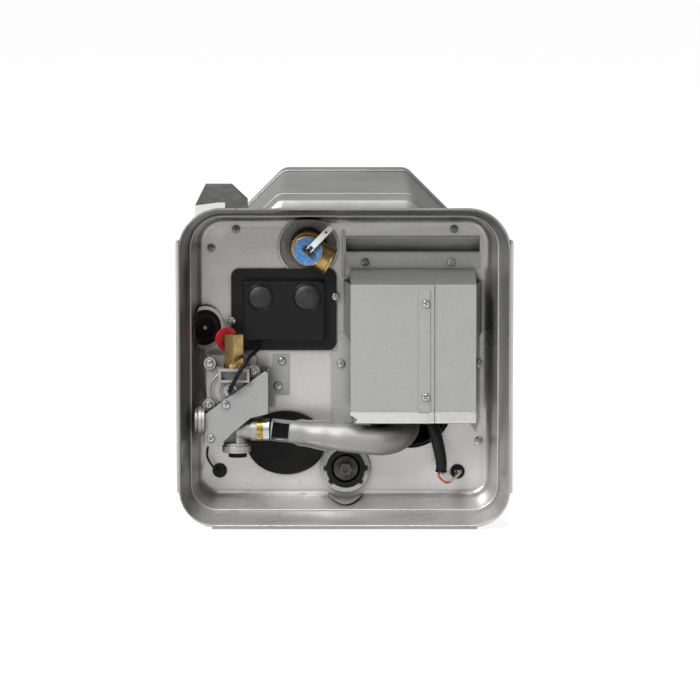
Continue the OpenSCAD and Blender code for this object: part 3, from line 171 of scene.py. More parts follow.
class Sketch:
    """Draws the nodes of one material."""

    # Painted shade: every finish darkens towards this tone in corners and hollows, where ambient
    # occlusion finds them.
    HOLLOW_SHADE_TONE: ClassVar[Triple] = (0.02, 0.019, 0.017)
    HOLLOW_SHADE_REACH: ClassVar[float] = 0.014
    HOLLOW_SHADE_SHARE: ClassVar[float] = 0.6

    def __init__(self, name: str) -> None:
        """Starts an empty material.

        Args:
            name: Name of the material.
        """
        self.material = bpy.data.materials.new(name)
        self.material.use_nodes = True
        self.tree = self.material.node_tree
        self.tree.nodes.clear()
        self.place = self.node("TexCoord").outputs["Object"]

    def feed(self, socket: Socket, value: object) -> None:
        """Links another socket to an input, or sets the input's own value.

        Args:
            socket: The input.
            value: Socket that it is linked to, or its value.
        """
        if isinstance(value, Socket):
            self.tree.links.new(value, socket)
        else:
            socket.default_value = value

    def node(self, kind: str, settings: dict[str, object] | None = None,
             **inputs: object) -> bpy.types.Node:
        """Adds one shader node.

        Args:
            kind: Node type without its common first word.
            settings: Properties of the node.
            **inputs: Values or sockets for its inputs, with spaces written as underscores.

        Returns:
            The new node.
        """
        made = self.tree.nodes.new("ShaderNode" + kind)
        for key, value in (settings or {}).items():
            setattr(made, key, value)
        for key, value in inputs.items():
            self.feed(made.inputs[key.replace("_", " ")], value)
        return made

    def sum(self, kind: str, first: object, second: object, family: str = "Math") -> bpy.types.Node:
        """Adds a node that does a sum with two values.

        Args:
            kind: Operation of the node.
            first: First value or socket.
            second: Second value or socket.
            family: Type of the node, for plain numbers or for vectors.

        Returns:
            The new node.
        """
        made = self.node(family, {"operation": kind})
        self.feed(made.inputs[0], first)
        self.feed(made.inputs[1], second)
        return made

    def combine(self, kind: str, first: object, second: object) -> Socket:
        """Joins two values by a sum of the named kind."""
        return self.sum(kind, first, second).outputs[0]

    def noise(self, by: Triple | float, detail: float = 3.0, soft: float = 0.5) -> Socket:
        """Gives a cloudy pattern.

        Args:
            by: Patches per metre, along each axis or along all of them.
            detail: How many finer layers it has.
            soft: How strong the finer layers are.

        Returns:
            Socket with values round one half.
        """
        axes = by if isinstance(by, tuple) else (by, by, by)
        stretched = self.sum("MULTIPLY", self.place, axes, "VectorMath").outputs[0]
        made = self.node("TexNoise", Vector=stretched, Scale=1.0, Detail=detail, Roughness=soft)
        return made.outputs["Fac"]

    def spread(self, value: Socket, low: float, high: float, to_low: float,
               to_high: float) -> Socket:
        """Maps one range of values to another, held at its ends."""
        ends = {"From_Min": low, "From_Max": high, "To_Min": to_low, "To_Max": to_high}
        return self.node("MapRange", Value=value, **ends).outputs["Result"]

    def tint(self, share: Socket, low: object, high: object) -> Socket:
        """Mixes two colours.

        Args:
            share: How much of the second colour it takes.
            low: First colour, or its socket.
            high: Second colour, or its socket.

        Returns:
            The mixed colour.
        """
        made = self.node("Mix", {"data_type": "RGBA"})
        self.feed(made.inputs[0], share)
        for slot, value in ((6, low), (7, high)):
            self.feed(made.inputs[slot], (*value, 1.0) if isinstance(value, tuple) else value)
        return made.outputs[2]

    def blend(self, pattern: Socket, span: Pair, share: float, low: object, high: object) -> Socket:
        """Mixes a share of a second colour in, as a pattern goes through a span of its values."""
        return self.tint(self.spread(pattern, *span, 0.0, share), low, high)

    def edges(self, radius: float) -> Socket:
        """Gives a mask that is one along sharp edges, where a finish wears.

        Args:
            radius: How far from an edge it reaches, in metres.

        Returns:
            The mask.
        """
        soft = self.node("Bevel", {"samples": 4}, Radius=radius).outputs[0]
        flat = self.node("NewGeometry").outputs["Normal"]
        alike = self.sum("DOT_PRODUCT", soft, flat, "VectorMath").outputs["Value"]
        return self.spread(alike, 0.75, 0.99, 1.0, 0.0)

    def hollows(self, reach: float) -> Socket:
        """Gives a mask that is one in corners and hollows, where shade is painted."""
        bare = self.node("AmbientOcclusion", {"samples": 6}, Distance=reach).outputs["AO"]
        return self.spread(bare, 0.3, 0.9, 1.0, 0.0)

    def surface(self, colour: object, rough: object, height: object, depth: float, edge: float,
                **sockets: object) -> None:
        """Closes the material with its surface shader, and paints shade into its colour in corners
        and hollows.

        Args:
            colour: Base colour.
            rough: Roughness.
            height: Pattern that raises the surface.
            depth: How far that pattern raises it, in metres.
            edge: Radius to which sharp edges are rounded in shading.
            **sockets: Other inputs of the shader.
        """
        soft = self.node("Bevel", {"samples": 4}, Radius=edge).outputs[0]
        bump = self.node("Bump", Strength=1.0, Distance=depth, Height=height, Normal=soft)
        # Painted shade: the colour darkens in corners and hollows.
        share = self.combine("MULTIPLY", self.hollows(self.HOLLOW_SHADE_REACH), self.HOLLOW_SHADE_SHARE)
        shaded = self.tint(share, colour, self.HOLLOW_SHADE_TONE)
        shader = self.node("BsdfPrincipled", Base_Color=shaded, Roughness=rough,
                           Normal=bump.outputs[0], **sockets)
        self.feed(self.node("OutputMaterial").inputs["Surface"], shader.outputs[0])


@dataclass(frozen=True)
class Finish:
    """One finish of the heater's surfaces: its tone, and how it wears and swings in gloss."""

    name: str
    colour: Triple
    rough: float = 0.4
    edge: float = 0.0004
    swing: Pair = (0.05, 0.05)
    relief: float = 0.00003
    wear_r: float = 0.0006
    bare: float = 1.25

    def draw(self, sketch: Sketch) -> None:
        """Draws the finish's own nodes."""
        raise NotImplementedError

    def shade(self, by: float) -> Triple:
        """Gives the finish's colour, lighter or darker."""
        return scaled(self.colour, by)

    def worn(self, sketch: Sketch, tone: Socket) -> Socket:
        """Brightens a tone along sharp edges."""
        return sketch.tint(sketch.edges(self.wear_r), tone, self.shade(self.bare))

    def dulled(self, sketch: Sketch, pattern: Socket, span: Pair = NOISE_SPAN) -> Socket:
        """Gives a roughness that swings with a pattern."""
        smooth, matt = self.swing
        return sketch.spread(pattern, *span, self.rough - smooth, self.rough + matt)

    def material(self) -> bpy.types.Material:
        """Gives the finish's material, made once.

        Returns:
            The material.
        """
        title = self.name + "_finish"
        made = bpy.data.materials.get(title)
        if made is None:
            sketch = Sketch(title)
            self.draw(sketch)
            made = sketch.material
        return made


@dataclass(frozen=True)
class SheetMetal(Finish):
    """Rolled or pressed sheet with a grain, slow waves, dull patches and brighter edges."""

    wear_r: float = 0.0008
    grain: Grain = Grain.LEVEL
    patch: float = 18.0
    uneven: float = 0.08
    waves: float = 0.0004
    wave_count: float = 24.0
    metal: float = 0.6

    def draw(self, sketch: Sketch) -> None:
        """Draws grain in the roughness and height, and patches in the tone.

        Args:
            sketch: Material that takes the nodes.
        """
        grain = sketch.noise(self.grain.value, 2.0)
        patches = sketch.noise(self.patch, 4.0, 0.6)
        low, high = self.shade(1 - self.uneven), self.shade(1 + self.uneven)
        tone = sketch.blend(patches, NOISE_SPAN, 1.0, low, high)
        fine = sketch.blend(grain, (0.35, 0.65), 0.1, tone, self.shade(0.8))
        worn = self.worn(sketch, self.shift_tone(sketch, fine))
        streaks = sketch.spread(grain, *NOISE_SPAN, -0.015, 0.015)
        rough = sketch.combine("ADD", self.dulled(sketch, patches), streaks)
        waves = sketch.noise(self.wave_count, 1.0)
        slow = sketch.combine("MULTIPLY", waves, self.waves / self.relief)
        height = sketch.combine("ADD", grain, slow)
        sketch.surface(worn, rough, height, self.relief, self.edge, Metallic=self.metal)

    def shift_tone(self, sketch: Sketch, tone: Socket) -> Socket:
        """Gives the tone as it is: plain sheet adds nothing to it."""
        return tone


@dataclass(frozen=True)
class PressedPan(SheetMetal):
    """Sheet of the front pan, with painted light towards its foot and painted shade on its side and
    upper walls.
    """

    foot_light: float = 1.35
    wall_shade: float = 0.6
    wall_shade_tone: float = 0.1
    foot: Pair = (0.03, 0.27)
    left: Pair = (-0.153, -0.139)
    right: Pair = (0.14, 0.155)
    right_share: float = 0.5
    top: Pair = (0.288, 0.306)
    top_share: float = 0.9

    def shift_tone(self, sketch: Sketch, tone: Socket) -> Socket:
        """Paints light on the foot and shade on the walls.

        Args:
            sketch: Material that takes the nodes.
            tone: Tone of the bare sheet.

        Returns:
            The tone with its painted light and shade.
        """
        place = sketch.node("SeparateXYZ", Vector=sketch.place).outputs
        # Painted light: the sheet lightens towards the pan's foot.
        low = sketch.spread(place["Z"], *self.foot, 1.0, 0.0)
        foot_lit = sketch.tint(low, tone, self.shade(self.foot_light))
        # Painted shade: the left, right and top walls darken, the left wall most and the right wall
        # least.
        left = sketch.spread(place["X"], *self.left, 1.0, 0.0)
        right = sketch.spread(place["X"], *self.right, 0.0, self.right_share)
        top = sketch.spread(place["Z"], *self.top, 0.0, self.top_share)
        walls = sketch.combine("MAXIMUM", sketch.combine("MAXIMUM", left, right), top)
        share = sketch.combine("MULTIPLY", walls, self.wall_shade)
        return sketch.tint(share, foot_lit, self.shade(self.wall_shade_tone))


@dataclass(frozen=True)
class EndDarkened(SheetMetal):
    """Sheet of the burner tube, darker towards its right end."""

    dark_reach: Pair = (0.015, 0.08)
    end_tone: Triple = (0.1, 0.095, 0.09)
    share: float = 0.75

    def shift_tone(self, sketch: Sketch, tone: Socket) -> Socket:
        """Darkens the right end."""
        along = sketch.node("SeparateXYZ", Vector=sketch.place).outputs["X"]
        return sketch.blend(along, self.dark_reach, self.share, tone, self.end_tone)


@dataclass(frozen=True)
class Galvanised(Finish):
    """Zinc coated sheet with its faint crystals."""

    swing: Pair = (0.04, 0.04)
    relief: float = 0.00002
    wear_r: float = 0.0007
    bare: float = 1.3
    crystals: float = 420.0
    metal: float = 0.5

    def draw(self, sketch: Sketch) -> None:
        """Draws crystals of slightly different tone and gloss, and specks.

        Args:
            sketch: Material that takes the nodes.
        """
        cells = sketch.node("TexVoronoi", {"feature": "F1"}, Vector=sketch.place,
                            Scale=self.crystals, Randomness=1.0).outputs
        cell = sketch.node("SeparateColor", Color=cells["Color"]).outputs[0]
        patches = sketch.noise(14.0, 4.0, 0.6)
        specks = sketch.noise(650.0, 2.0)
        tone = sketch.tint(cell, self.shade(0.95), self.shade(1.04))
        dulled = sketch.blend(patches, (0.35, 0.75), 0.35, tone, self.shade(0.82))
        speckled = sketch.blend(specks, (0.66, 0.8), 0.4, dulled, self.shade(0.6))
        worn = self.worn(sketch, speckled)
        clouds = sketch.spread(patches, *NOISE_SPAN, -0.04, 0.06)
        rough = sketch.combine("ADD", self.dulled(sketch, cell, (0.0, 1.0)), clouds)
        sketch.surface(worn, rough, cells["Distance"], self.relief, self.edge, Metallic=self.metal)


@dataclass(frozen=True)
class Casting(Finish):
    """Die cast alloy with a fine sandy skin and painted shade in its hollows."""

    swing: Pair = (0.08, 0.1)
    relief: float = 0.0001
    wear_r: float = 0.0009
    skin: float = 900.0
    metal: float = 0.5

    def draw(self, sketch: Sketch) -> None:
        """Draws the skin's grain and its stains.

        Args:
            sketch: Material that takes the nodes.
        """
        skin = sketch.noise(self.skin, 4.0, 0.6)
        stains = sketch.noise(60.0, 3.0)
        tone = sketch.blend(stains, (0.35, 0.7), 1.0, self.shade(1.06), self.shade(0.82))
        worn = self.worn(sketch, tone)
        rough = self.dulled(sketch, skin)
        sketch.surface(worn, rough, skin, self.relief, self.edge, Metallic=self.metal)


@dataclass(frozen=True)
class Turned(Finish):
    """Turned or plated metal that has dulled unevenly."""

    swing: Pair = (0.06, 0.16)
    dull: Triple = (0.3, 0.3, 0.3)
    share: float = 0.5

    def draw(self, sketch: Sketch) -> None:
        """Draws fine tool marks and dull stains.

        Args:
            sketch: Material that takes the nodes.
        """
        marks = sketch.noise(1500.0, 2.0)
        stains = sketch.noise(120.0, 4.0, 0.65)
        worn = self.worn(
            sketch, sketch.blend(stains, (0.4, 0.75), self.share, self.colour, self.dull))
        rough = self.dulled(sketch, stains, (0.3, 0.75))
        sketch.surface(worn, rough, marks, self.relief, self.edge, Metallic=1.0)


@dataclass(frozen=True)
class Rubber(Finish):
    """Moulded rubber or plastic with a fine skin and a little dust."""

    swing: Pair = (0.06, 0.1)
    relief: float = 0.00005
    wear_r: float = 0.0007
    wear_share: float = 0.3
    bare: float = 1.6
    dust: Triple = (0.09, 0.088, 0.085)
    dusty: float = 0.25
    skin: float = 1200.0
    gloss: float = 0.25

    def draw(self, sketch: Sketch) -> None:
        """Draws the moulded skin, and dust on what looks up.

        Args:
            sketch: Material that takes the nodes.
        """
        skin = sketch.noise(self.skin)
        clouds = sketch.noise(70.0, 4.0, 0.6)
        normal = sketch.node("NewGeometry").outputs["Normal"]
        up = sketch.node("SeparateXYZ", Vector=normal).outputs["Z"]
        lying = sketch.spread(up, -0.2, 1.0, 0.25, 1.0)
        share = sketch.combine("MULTIPLY", sketch.spread(clouds, 0.4, 0.7, 0.0, self.dusty), lying)
        tone = sketch.tint(share, self.colour, self.dust)
        rubbed = sketch.combine("MULTIPLY", sketch.edges(self.wear_r), self.wear_share)
        worn = sketch.tint(rubbed, tone, scaled(self.dust, self.bare))
        rough = self.dulled(sketch, clouds)
        sketch.surface(worn, rough, skin, self.relief, self.edge, Specular_IOR_Level=self.gloss)


@dataclass(frozen=True)
class Painted(Finish):
    """Paint over metal, with a slight orange skin and worn specks."""

    swing: Pair = (0.05, 0.12)
    wear_share: float = 0.4
    speck: Triple = (0.5, 0.5, 0.5)
    specks: float = 0.1
    scale: float = 220.0

    def draw(self, sketch: Sketch) -> None:
        """Draws the paint's skin, its tone and its specks.

        Args:
            sketch: Material that takes the nodes.
        """
        skin = sketch.noise(500.0, 2.0)
        clouds = sketch.noise(60.0)
        flecks = sketch.noise(self.scale, 4.0, 0.7)
        tone = sketch.blend(clouds, NOISE_SPAN, 1.0, self.shade(0.88), self.shade(1.1))
        worn = sketch.blend(flecks, (0.45, 0.7), self.specks, tone, self.speck)
        rubbed = sketch.combine("MULTIPLY", sketch.edges(self.wear_r), self.wear_share)
        edged = sketch.tint(rubbed, worn, self.speck)
        sketch.surface(edged, self.dulled(sketch, flecks), skin, self.relief, self.edge)


@dataclass(frozen=True)
class Fibre(Finish):
    """Loose fibre blanket."""

    relief: float = 0.002
    strands: Triple = (120.0, 900.0, 400.0)

    def draw(self, sketch: Sketch) -> None:
        """Draws tangled strands and clumps.

        Args:
            sketch: Material that takes the nodes.
        """
        strands = sketch.noise(self.strands, 5.0, 0.7)
        clumps = sketch.noise(40.0)
        tone = sketch.tint(strands, self.shade(0.75), self.shade(1.2))
        clumped = sketch.blend(clumps, (0.35, 0.7), 0.5, tone, self.shade(0.6))
        sketch.surface(clumped, self.rough, strands, self.relief, self.edge)


PAN = PressedPan("pan_sheet", (0.47, 0.466, 0.458), 0.3, uneven=0.12, metal=0.7)
# This brighter sheet finishes the mounting flanges, and is also put on the pan's step bead, the
# well's mouth and the slot trim as painted highlight.
FLANGE_AND_HIGHLIGHT = SheetMetal("flange_and_highlight_sheet", (0.52, 0.52, 0.515), 0.36, grain=Grain.UPRIGHT, metal=0.4)
JACKET = SheetMetal("jacket_sheet", (0.4, 0.4, 0.39), 0.34, patch=9.0, uneven=0.16, metal=0.6)
ZINC = Galvanised("zinc_sheet", (0.41, 0.41, 0.4), 0.42, metal=0.5)
BRACKET = Galvanised("bracket_sheet", (0.37, 0.37, 0.362), 0.42, metal=0.5)
DUCT = SheetMetal("duct_sheet", (0.6, 0.6, 0.59), 0.5, grain=Grain.INWARD, metal=0.1)
BLANKET = Fibre("fibre_blanket", (0.72, 0.66, 0.45), 0.9)
CLAD = SheetMetal("clad_tank", (0.5, 0.5, 0.51), 0.45, grain=Grain.INWARD)
SOOT = Rubber("sooty_flue", (0.02, 0.019, 0.018), 0.7, dust=(0.06, 0.055, 0.05))
PIPE_WHITE = Rubber("white_moulding", (0.8, 0.8, 0.78), 0.45, dust=(0.5, 0.49, 0.47), gloss=0.5)
COLLAR = Rubber(
    "collar_moulding", (0.5, 0.5, 0.49), 0.4, dust=(0.22, 0.215, 0.21), dusty=0.5, gloss=0.5)
BRASS = Turned("dulled_brass", (0.54, 0.37, 0.15), 0.24, dull=(0.17, 0.1, 0.045), share=0.55)
BLUE = Painted(
    "blue_disc_paint", (0.05, 0.19, 0.46), 0.4, speck=(0.26, 0.44, 0.68), specks=0.8, scale=420.0)
LEVER = Painted("lever_plate", (0.9, 0.9, 0.89), 0.35, speck=(0.6, 0.6, 0.59), specks=0.15)
STEEL = Turned("plated_steel", (0.62, 0.63, 0.64), 0.26, dull=(0.28, 0.28, 0.29), share=0.5)
# Painted shade: a darker copy of the plated steel for the sheet screws that sit in shade.
STEEL_IN_SHADE = Turned("plated_steel_in_shade", (0.3, 0.3, 0.3), 0.2, dull=(0.03, 0.03, 0.03), share=0.8)
OXIDE = Turned("dark_oxide", (0.05, 0.05, 0.048), 0.35, dull=(0.03, 0.03, 0.03), share=0.6)
WELL = SheetMetal("well_sheet", (0.55, 0.55, 0.545), 0.3, patch=40.0, uneven=0.15, metal=0.25)
# Painted shade: the spuds are made nearly black, with brown flecks, so the bottom of the relief
# well reads as deep shade.
PAINTED_SHADE_SPUD = Painted("painted_shade_spud", (0.035, 0.03, 0.026), 0.6, speck=(0.12, 0.08, 0.05), specks=0.4)
RUBBER = Rubber("black_rubber", (0.004, 0.004, 0.0042), 0.34, dust=(0.022, 0.0215, 0.021))
DOME = Rubber(
    "dome_rubber", (0.018, 0.018, 0.0185), 0.42, dust=(0.12, 0.118, 0.115), dusty=0.6, gloss=0.4)
PHENOLIC = Rubber("brown_phenolic", (0.1, 0.045, 0.02), 0.3, gloss=0.5)
CAST = Casting("cast_alloy", (0.39, 0.376, 0.367), 0.4, metal=0.55)
COIL = Rubber("coil_tape", (0.35, 0.04, 0.03), 0.5)
RED = Rubber("red_cap", (0.56, 0.012, 0.022), 0.35, dust=(0.6, 0.12, 0.12), dusty=0.2, gloss=0.4)
BLACK = Rubber("black_moulding", (0.006, 0.0058, 0.0056), 0.5, dust=(0.04, 0.038, 0.036), gloss=0.2)
DRAWN = EndDarkened("drawn_tube", (0.35, 0.347, 0.34), 0.52, patch=30.0, waves=0.0, metal=0.65)
CERAMIC = Painted("fired_ceramic", (0.8, 0.78, 0.72), 0.25, speck=(0.5, 0.48, 0.44), specks=0.2)
ORANGE = Rubber("orange_sleeve", (0.6, 0.17, 0.08), 0.4, dust=(0.5, 0.3, 0.2), gloss=0.4)
PALE_WIRE = Rubber("white_sleeve", (0.7, 0.66, 0.6), 0.4, dust=(0.45, 0.4, 0.35), gloss=0.4)
DARK_WIRE = Rubber(
    "dark_sleeve", (0.006, 0.0055, 0.0055), 0.36, dust=(0.035, 0.034, 0.033), gloss=0.2)
SHEATH = Turned("element_sheath", (0.42, 0.42, 0.43), 0.35, dull=(0.2, 0.2, 0.2))
PLUG = Turned("plug_alloy", (0.11, 0.107, 0.1), 0.42, dull=(0.03, 0.03, 0.03), share=0.8)
BOX_PAINT = Painted(
    "wiring_box_paint", (0.08, 0.08, 0.078), 0.42, speck=(0.2, 0.2, 0.2), specks=0.35)
PLATE = Rubber("pale_plate", (0.62, 0.62, 0.61), 0.45, dust=(0.4, 0.4, 0.385), gloss=0.5)
GOLD = Turned("orifice_brass", (0.55, 0.4, 0.1), 0.25, dull=(0.05, 0.04, 0.02), share=0.9)


class Smoothing:
    """Modifier that welds a mesh and keeps only its sharp edges sharp."""

    WELD_GAP: ClassVar[float] = 1e-5

    def __init__(self, degrees: float = 30.0) -> None:
        """Builds the node group.

        Args:
            degrees: Angle above which an edge stays sharp.
        """
        group = bpy.data.node_groups.new("keep_sharp_edges", "GeometryNodeTree")
        for way in ("INPUT", "OUTPUT"):
            group.interface.new_socket("Geometry", in_out=way, socket_type="NodeSocketGeometry")
        new = group.nodes.new
        start, end = new("NodeGroupInput"), new("NodeGroupOutput")
        weld = new("GeometryNodeMergeByDistance")
        weld.inputs["Distance"].default_value = self.WELD_GAP
        plain = new("GeometryNodeRemoveAttribute")
        plain.inputs["Name"].default_value = "custom_normal"
        soft = new("GeometryNodeSetShadeSmooth")
        sharp = new("GeometryNodeSetShadeSmooth")
        sharp.domain = "EDGE"
        sharp.inputs["Shade Smooth"].default_value = False
        angle = new("GeometryNodeInputMeshEdgeAngle")
        test = new("FunctionNodeCompare")
        test.operation = "GREATER_THAN"
        test.inputs[1].default_value = radians(degrees)
        chain = [start, weld, plain, soft, sharp, end]
        for first, second in zip(chain, chain[1:]):
            group.links.new(first.outputs[0], second.inputs[0])
        group.links.new(angle.outputs[0], test.inputs[0])
        group.links.new(test.outputs[0], sharp.inputs["Selection"])
        self.group = group

    def apply(self, piece: Object) -> None:
        """Adds the modifier to a mesh."""
        piece.modifiers.new("smooth", "NODES").node_group = self.group


class MeshSketch:
    """Collects the rings and faces of one piece."""

    def __init__(self) -> None:
        """Starts with no points."""
        self.points: list[Vector] = []
        self.faces: list[tuple[int, ...]] = []

    def ring(self, points: Sequence[Vector]) -> list[int]:
        """Adds points.

        Args:
            points: Their places, in metres.

        Returns:
            Their numbers.
        """
        start = len(self.points)
        self.points += points
        return list(range(start, len(self.points)))

    def bridge(self, a: list[int], b: list[int]) -> None:
        """Joins two closed rings with a band of faces."""
        for i, j in zip(range(len(a)), [*range(1, len(a)), 0]):
            self.faces.append((a[i], a[j], b[j], b[i]))

    def loft(self, rings: Sequence[Sequence[Vector]], hoop: bool = False) -> None:
        """Joins a row of rings.

        Args:
            rings: Points of each ring.
            hoop: Whether its ends are joined to each other instead of closed with caps.
        """
        made = [self.ring(r) for r in rings]
        for a, b in zip(made, made[1:]):
            self.bridge(a, b)
        if hoop:
            self.bridge(made[-1], made[0])
        else:
            self.faces += [tuple(reversed(made[0])), tuple(made[-1])]

    def lathe(self, profile: Profile, foot: Vector, axis: Vector = OUT, sides: int = 48,
              phase: float = 0.0, hoop: bool = True) -> None:
        """Turns a profile round an axis.

        Args:
            profile: Radius and height of each ring, in millimetres.
            foot: Point of the axis at height nought.
            axis: Way that heights run.
            sides: Count of points round the axis.
            phase: Turn of the first point, in degrees.
            hoop: Whether the profile is a closed outline beside the axis.
        """
        way = axis.normalized()
        across = way.orthogonal().normalized()
        along = way.cross(across)
        turns = [radians(phase + 360 * k / sides) for k in range(sides)]
        spokes = [across * cos(a) + along * sin(a) for a in turns]
        self.loft([[foot + (way * h + spoke * max(r, LEAST_R)) / MM for spoke in spokes]
                   for r, h in profile], hoop)

    def piece(self, name: str, smoothing: Smoothing) -> Object:
        """Makes the object, with its faces turned outward.

        Args:
            name: Name of the object.
            smoothing: Modifier that it gets.

        Returns:
            The new object.
        """
        mesh = bpy.data.meshes.new(name)
        mesh.from_pydata(self.points, [], self.faces)
        shape = bmesh.new()
        shape.from_mesh(mesh)
        bmesh.ops.recalc_face_normals(shape, faces=shape.faces)
        shape.to_mesh(mesh)
        shape.free()
        made = linked(name, mesh)
        smoothing.apply(made)
        return made


@dataclass
class Assembly:
    """One sub-assembly: the solids that it keeps, and the pieces that it adds."""

    KEPT: ClassVar[dict[str, Finish]] = {}
    smoothing: Smoothing

    def dress(self) -> None:
        """Gives each kept solid its finish and smooth curves."""
        for name, finish in self.KEPT.items():
            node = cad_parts[name]
            node.data.materials.clear()
            node.data.materials.append(finish.material())
            self.smoothing.apply(node)
            LOG.info("dressed %s with %s", name, finish.name)

    def settle(self, piece: Object, finish: Finish, slot: str, *replaced: str,
               body: str = "heater") -> None:
        """Finishes a new piece and ties it to its body.

        Args:
            piece: New object.
            finish: Its finish.
            slot: Not used.
            *replaced: Solids that it stands for.
            body: Body that it moves with.
        """
        piece.data.materials.append(finish.material())
        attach(piece, body)
        if replaced:
            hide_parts(*replaced)
        LOG.info("built %s", piece.name)

    def add(self, name: str, sketch: MeshSketch, finish: Finish, slot: str, *replaced: str,
            body: str = "heater") -> None:
        """Makes a sketched piece and settles it."""
        self.settle(sketch.piece(name, self.smoothing), finish, slot, *replaced, body=body)

    def turn(self, name: str, profile: Profile, foot: Vector, finish: Finish, slot: str,
             *replaced: str, sides: int = 48, body: str = "heater") -> None:
        """Adds a piece that is one hoop round an axis out of the panel.

        Args:
            name: Name of the piece.
            profile: Radius and height of the hoop's outline, in millimetres.
            foot: Point of the axis at height nought.
            finish: Its finish.
            slot: Passed on, but not used.
            *replaced: Solids that it stands for.
            sides: Count of points round the axis.
            body: Body that it moves with.
        """
        sketch = MeshSketch()
        sketch.lathe(profile, foot, sides=sides)
        self.add(name, sketch, finish, slot, *replaced, body=body)

    def build(self) -> None:
        """Adds the pieces that the solids leave to the looks."""


@dataclass
class Studio:
    """Camera, soft lamps, pale floor and plain surroundings."""

    eye: Triple = (0.0053, -4.2139, 0.6705)
    tilt: float = 7.1
    lens: float = 212.4
    sensor: float = 36.0
    far_clip: float = 200.0
    lamps: tuple[tuple[str, Triple, float, float], ...] = (
        ("key_lamp", (-1.6, -2.9, 2.4), 1.5, 125.0), ("top_lamp", (-0.1, -1.0, 2.5), 1.4, 42.0))
    aim: Triple = (0.0, -0.2, 0.16)
    left_tone: float = 0.5
    right_tone: float = 0.02
    floor_reach: float = 40.0
    floor_drop: float = 0.0005
    floor_tones: Pair = (0.4, 0.43)
    floor_glow: float = 0.87
    floor_shine: float = 0.5

    def camera(self) -> None:
        """Sets the camera at the photograph's viewing angle."""
        data = bpy.data.cameras.new("camera")
        data.lens = self.lens
        data.sensor_width = self.sensor
        data.clip_end = self.far_clip
        made = linked("camera", data)
        made.location = self.eye
        made.rotation_euler = (radians(90 - self.tilt), 0, 0)
        bpy.context.scene.camera = made

    def lamp(self, name: str, place: Triple, size: float, watts: float) -> None:
        """Hangs one soft lamp that looks at the heater's front.

        Args:
            name: Name of the lamp.
            place: Where it hangs.
            size: How wide it is, in metres.
            watts: Its power.
        """
        data = bpy.data.lights.new(name, "AREA")
        data.shape = "DISK"
        data.size = size
        data.energy = watts
        made = linked(name, data)
        made.location = place
        way = Vector(self.aim) - Vector(place)
        made.rotation_euler = way.to_track_quat("-Z", "Y").to_euler()

    def world(self) -> None:
        """Makes plain surroundings, lighter on the left than on the right."""
        made = bpy.data.worlds.new("surroundings")
        bpy.context.scene.world = made
        made.use_nodes = True
        tree = made.node_tree
        tree.nodes.clear()
        kinds = ("TexCoord", "SeparateXYZ", "MapRange", "Background", "OutputWorld")
        place, way, tone, back, out = (tree.nodes.new("ShaderNode" + kind) for kind in kinds)
        tone.interpolation_type = "SMOOTHSTEP"
        ends = {"From Min": -1.0, "From Max": 1.0, "To Min": self.left_tone,
                "To Max": self.right_tone}
        for key, value in ends.items():
            tone.inputs[key].default_value = value
        back.inputs["Color"].default_value = (1.0, 1.0, 1.0, 1.0)
        tree.links.new(place.outputs["Generated"], way.inputs[0])
        tree.links.new(way.outputs["X"], tone.inputs["Value"])
        tree.links.new(tone.outputs["Result"], back.inputs["Strength"])
        tree.links.new(back.outputs[0], out.inputs["Surface"])

    def floor_material(self) -> bpy.types.Material:
        """Draws the floor: pale, with a glow that only the camera, gloss and glass see.

        Returns:
            The material.
        """
        nodes = Sketch("pale_floor")
        low, high = ((tone, tone, tone) for tone in self.floor_tones)
        tone = nodes.tint(nodes.noise(3.0, 2.0), low, high)
        matt = nodes.node("BsdfDiffuse", Color=tone).outputs[0]
        path = nodes.node("LightPath").outputs
        mirrored = nodes.combine("MAXIMUM", path["Is Glossy Ray"], path["Is Transmission Ray"])
        seen = nodes.spread(path["Is Camera Ray"], 0.0, 1.0, 0.0, self.floor_glow)
        shine = nodes.spread(mirrored, 0.0, 1.0, 0.0, self.floor_shine)
        strength = nodes.combine("ADD", seen, shine)
        glow = nodes.node("Emission", Color=(1.0, 1.0, 1.0, 1.0), Strength=strength)
        both = nodes.node("AddShader")
        nodes.feed(both.inputs[0], matt)
        nodes.feed(both.inputs[1], glow.outputs[0])
        nodes.feed(nodes.node("OutputMaterial").inputs["Surface"], both.outputs[0])
        return nodes.material

    def floor(self) -> None:
        """Lays a pale floor that keeps the shadow."""
        sketch = MeshSketch()
        count = 8
        marks = spaced(-self.floor_reach, self.floor_reach, count)
        rows = [sketch.ring([Vector((x, y, 0)) for x in marks]) for y in marks]
        for a, b in zip(rows, rows[1:]):
            sketch.faces += [(a[i], a[i + 1], b[i + 1], b[i]) for i in range(count)]
        mesh = bpy.data.meshes.new("floor")
        mesh.from_pydata(sketch.points, [], sketch.faces)
        mesh.materials.append(self.floor_material())
        made = linked("floor", mesh)
        made.location = (0, 0, -self.floor_drop)

    def build(self) -> None:
        """Sets up the whole studio."""
        bpy.context.scene.view_settings.view_transform = "Standard"
        self.camera()
        self.world()
        self.floor()
        for lamp in self.lamps:
            self.lamp(*lamp)


